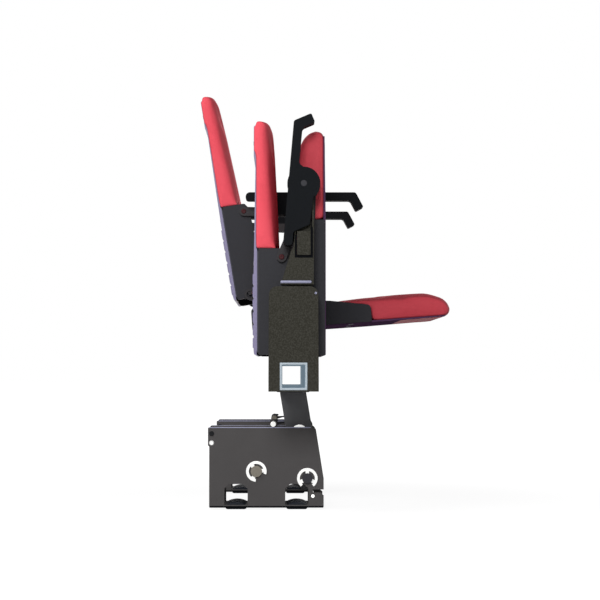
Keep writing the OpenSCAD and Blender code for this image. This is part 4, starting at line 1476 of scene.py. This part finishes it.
@dataclass
class SeatBack:
    """Back that leans as the pan tips."""

    shop: Workshop
    sizes: SeatSizes
    up: float = 256.8
    down: float = 178.5
    pad_rear: float = 43.5
    inner: float = 45.7
    cover_top: float = 16.5
    tuck: float = 3.2
    gap: float = 0.9
    room_y: Point2 = (3.2, 51.8)
    shell_half: float = 207.0
    held_face: float = 41.0
    strip_rise: Point2 = (-3.4, 4.0)
    screws_x: tuple[float, ...] = (-175.0, 175.0)
    screws_z: tuple[float, ...] = (-10.0, 218.0)

    def cushion(self) -> bpy.types.Object:
        """Makes the cushion in the back's frame.

        Returns:
            The cushion.
        """
        start, up = self.cover_top - self.tuck, self.up
        low_block = [(self.inner, -self.down, 4), (self.inner, 40, 4), (6, 40, 4), (4.5, self.cover_top, 20),
                     (3.5, -60, 60), (7, -self.down, 12)]
        up_block = [(self.pad_rear, start, 3), (self.pad_rear, up, 10), (17.5, up, 14.5), (12.5, 190, 60),
                    (4, start, 4)]
        lip = [(30, start, 3), (49.5, start, 2), (51.2, start + 14, 10), (51.4, 43, 20), (51, 130, 60),
               (50.8, 180, 10), (53.8, 195, 10), (53.8, up, 20), (30, up, 2)]
        inner, outer = self.sizes.cover_in - self.gap, self.sizes.half
        wide, held_z = outer - self.sizes.end_gap, self.cover_top + 6
        blocks = (Block(low_block, -inner, inner, self.sizes.plain_ease), Block(up_block, -outer, outer),
                  Block(lip, -outer, -self.shell_half), Block(lip, self.shell_half, outer))
        pad = Pad("back_cushion", blocks, face=(-1.0, 0.0), joint=start,
                  room=((-wide, self.room_y[0], -self.down), (wide, self.room_y[1], up)))
        return pad.model(Look.RED, lambda p: p.y > self.held_face or (
            p.z < held_z and abs(p.x) > self.sizes.cover_hold))

    def trim(self) -> bpy.types.Object:
        """Makes the dark strip that closes the foot of the back.

        Returns:
            The strip in the back's frame.
        """
        bm = bmesh.new()
        half, y1 = self.sizes.half - 6, self.inner + 1
        z0, z1 = (rise - self.down for rise in self.strip_rise)
        outline = [(y, z, 1) for y, z in ((4.5, z0), (y1, z0), (y1, z1), (4.5, z1))]
        add_prism(bm, rounded(outline), -half, half)
        return settle(bevel(mesh_object("back_trim_model", bm, Look.MATT.material()), 0.8, 2))

    def build(self) -> None:
        """Dresses both backs."""
        model, strip = self.cushion(), self.trim()
        spots = [(x, z) for x in self.screws_x for z in self.screws_z]
        for i in SEATS:
            place = self.sizes.back_place(i)
            self.sizes.cushion(self.shop, model, "back", i, place)
            # the shell's lavender is a painted reflection
            shell = self.shop.soften(f"back_shell_{i}", Look.SHELL, 2.0, 4)
            centre = SEAT_X[i] * MM
            for v in shell.data.vertices:
                v.co.x = centre + (v.co.x - centre) * (self.shell_half + 1) / self.sizes.half
            trim = copy_at(strip, f"back_trim_{i}", place)
            self.shop.put(trim, f"back_{i}", self.shop.slot_of(f"back_covers_{i}"))
            self.shop.soften(f"back_covers_{i}", Look.PANEL, 1.3)
            self.shop.paint(f"back_board_{i}", Look.WOOD)
            self.shop.soften(f"back_lugs_{i}", Look.LINK, 0.6, 2)
            self.sizes.pins(self.shop, i)
            self.sizes.screws(self.shop, "back", i, place, spots, (0, 1, 0))
        bpy.data.objects.remove(model)
        bpy.data.objects.remove(strip)


@dataclass(frozen=True)
class Lamp:
    """A square area lamp, in metres and watts."""

    name: str
    where: tuple[float, float, float]
    aim: tuple[float, float, float]
    size: float
    power: float

    def hang(self) -> None:
        """Puts the lamp into the scene."""
        data = bpy.data.lights.new(self.name, "AREA")
        data.size = self.size
        data.energy = self.power
        obj = bpy.data.objects.new(self.name, data)
        obj.location = self.where
        obj.rotation_euler = (Vector(self.aim) - Vector(self.where)).to_track_quat("-Z", "Y").to_euler()
        bpy.context.scene.collection.objects.link(obj)


@dataclass
class Studio:
    """Camera, lamps, world and floor, in metres and degrees."""

    eye: tuple[float, float, float] = (-4.142, -0.0328, 0.2683)
    lens: float = 118.14
    pitch_deg: float = 2.06
    yaw_deg: float = -0.483
    sky: float = 0.24
    floor_grey: float = 0.66
    floor_glow: float = 1.12
    floor_half: float = 40.0
    fade_from: Point2 = (0.35, 1.5)
    fade_to: Point2 = (0.8, 1.0)
    lamps: tuple[Lamp, ...] = (Lamp("key", (-5.0, 0.4, 2.4), (0, 0, 0.5), 1.3, 192),
                               Lamp("top", (-1.6, 1.4, 2.2), (0.2, 0, 0.6), 1.2, 32),
                               Lamp("front", (1.5, -3.2, 1.6), (0, 0, 0.4), 2.4, 26),
                               Lamp("rear", (1.5, 3.2, 1.6), (0, 0, 0.4), 2.4, 26))

    def camera(self) -> None:
        """Sets the camera at the height of the beam, looking along the row."""
        data = bpy.data.cameras.new("view")
        data.lens = self.lens
        data.sensor_width = 36
        data.clip_end = 60
        obj = bpy.data.objects.new("view", data)
        obj.location = self.eye
        obj.rotation_euler = (math.radians(90 + self.pitch_deg), 0, math.radians(-90 + self.yaw_deg))
        bpy.context.scene.collection.objects.link(obj)
        bpy.context.scene.camera = obj

    @staticmethod
    def seen(bench: Bench, *rays: str) -> Wire:
        """A mask of the kinds of ray that see the white behind the unit.

        Args:
            bench: What adds the nodes.
            *rays: The kinds of ray.

        Returns:
            1 for a ray of these kinds and 0 for any other.
        """
        first, *others = (bench.node("ShaderNodeLightPath", out=f"Is {ray} Ray") for ray in rays)
        for other in others:
            first = first.larger(other)
        return first

    def world(self) -> None:
        """A plain grey sky that shows as white behind the unit and in its gloss."""
        world = bpy.data.worlds.new("sky")
        bpy.context.scene.world = world
        bench = Bench(world)
        seen = self.seen(bench, "Camera", "Transmission", "Glossy")
        strength = bench.node("ShaderNodeMapRange", {}, {"Value": seen, "To Min": self.sky, "To Max": 1.0})
        sky = bench.node("ShaderNodeBackground", {}, {"Color": WHITE, "Strength": strength})
        bench.node("ShaderNodeOutputWorld", {}, {"Surface": sky})

    def floor(self) -> None:
        """A pale floor that keeps the unit's shadow and fades into the white behind."""
        bench = Bench(bpy.data.materials.new("studio_floor"))
        away = bench.node("ShaderNodeVectorMath", {"operation": "LENGTH"},
                          {0: bench.node("ShaderNodeTexCoord", out="Object")}, "Value")
        ends = zip(("From Min", "From Max", "To Min", "To Max"), self.fade_from + self.fade_to)
        fade = bench.node("ShaderNodeMapRange", {"interpolation_type": "SMOOTHSTEP"},
                          {"Value": away, **dict(ends)})
        matt = bench.node("ShaderNodeBsdfDiffuse", {}, {"Color": tint(WHITE, self.floor_grey)})
        glow = bench.node("ShaderNodeEmission", {}, {"Color": WHITE, "Strength": self.floor_glow})
        shader = bench.node("ShaderNodeMixShader", {},
                            {0: self.seen(bench, "Camera", "Glossy") * fade, 1: matt, 2: glow})
        bench.node("ShaderNodeOutputMaterial", {}, {"Surface": shader})
        bm = bmesh.new()
        bmesh.ops.create_grid(bm, x_segments=1, y_segments=1, size=self.floor_half)
        mesh_object("studio_floor", bm, bench.owner)

    def build(self) -> None:
        """Sets up the whole studio."""
        bpy.context.scene.view_settings.view_transform = "Standard"
        self.camera()
        self.world()
        self.floor()
        for lamp in self.lamps:
            lamp.hang()


def main() -> None:
    """Builds the dressed unit."""
    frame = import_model()
    Studio().build()
    shop = Workshop(frame)
    sizes = SeatSizes()
    for part in (BaseBox(shop), RowFrame(shop), Armrest(shop), Linkage(shop), SeatPan(shop, sizes),
                 SeatBack(shop, sizes)):
        part.build()
        LOG.info("%s done", type(part).__name__)


if __name__ == "__main__":
    main()
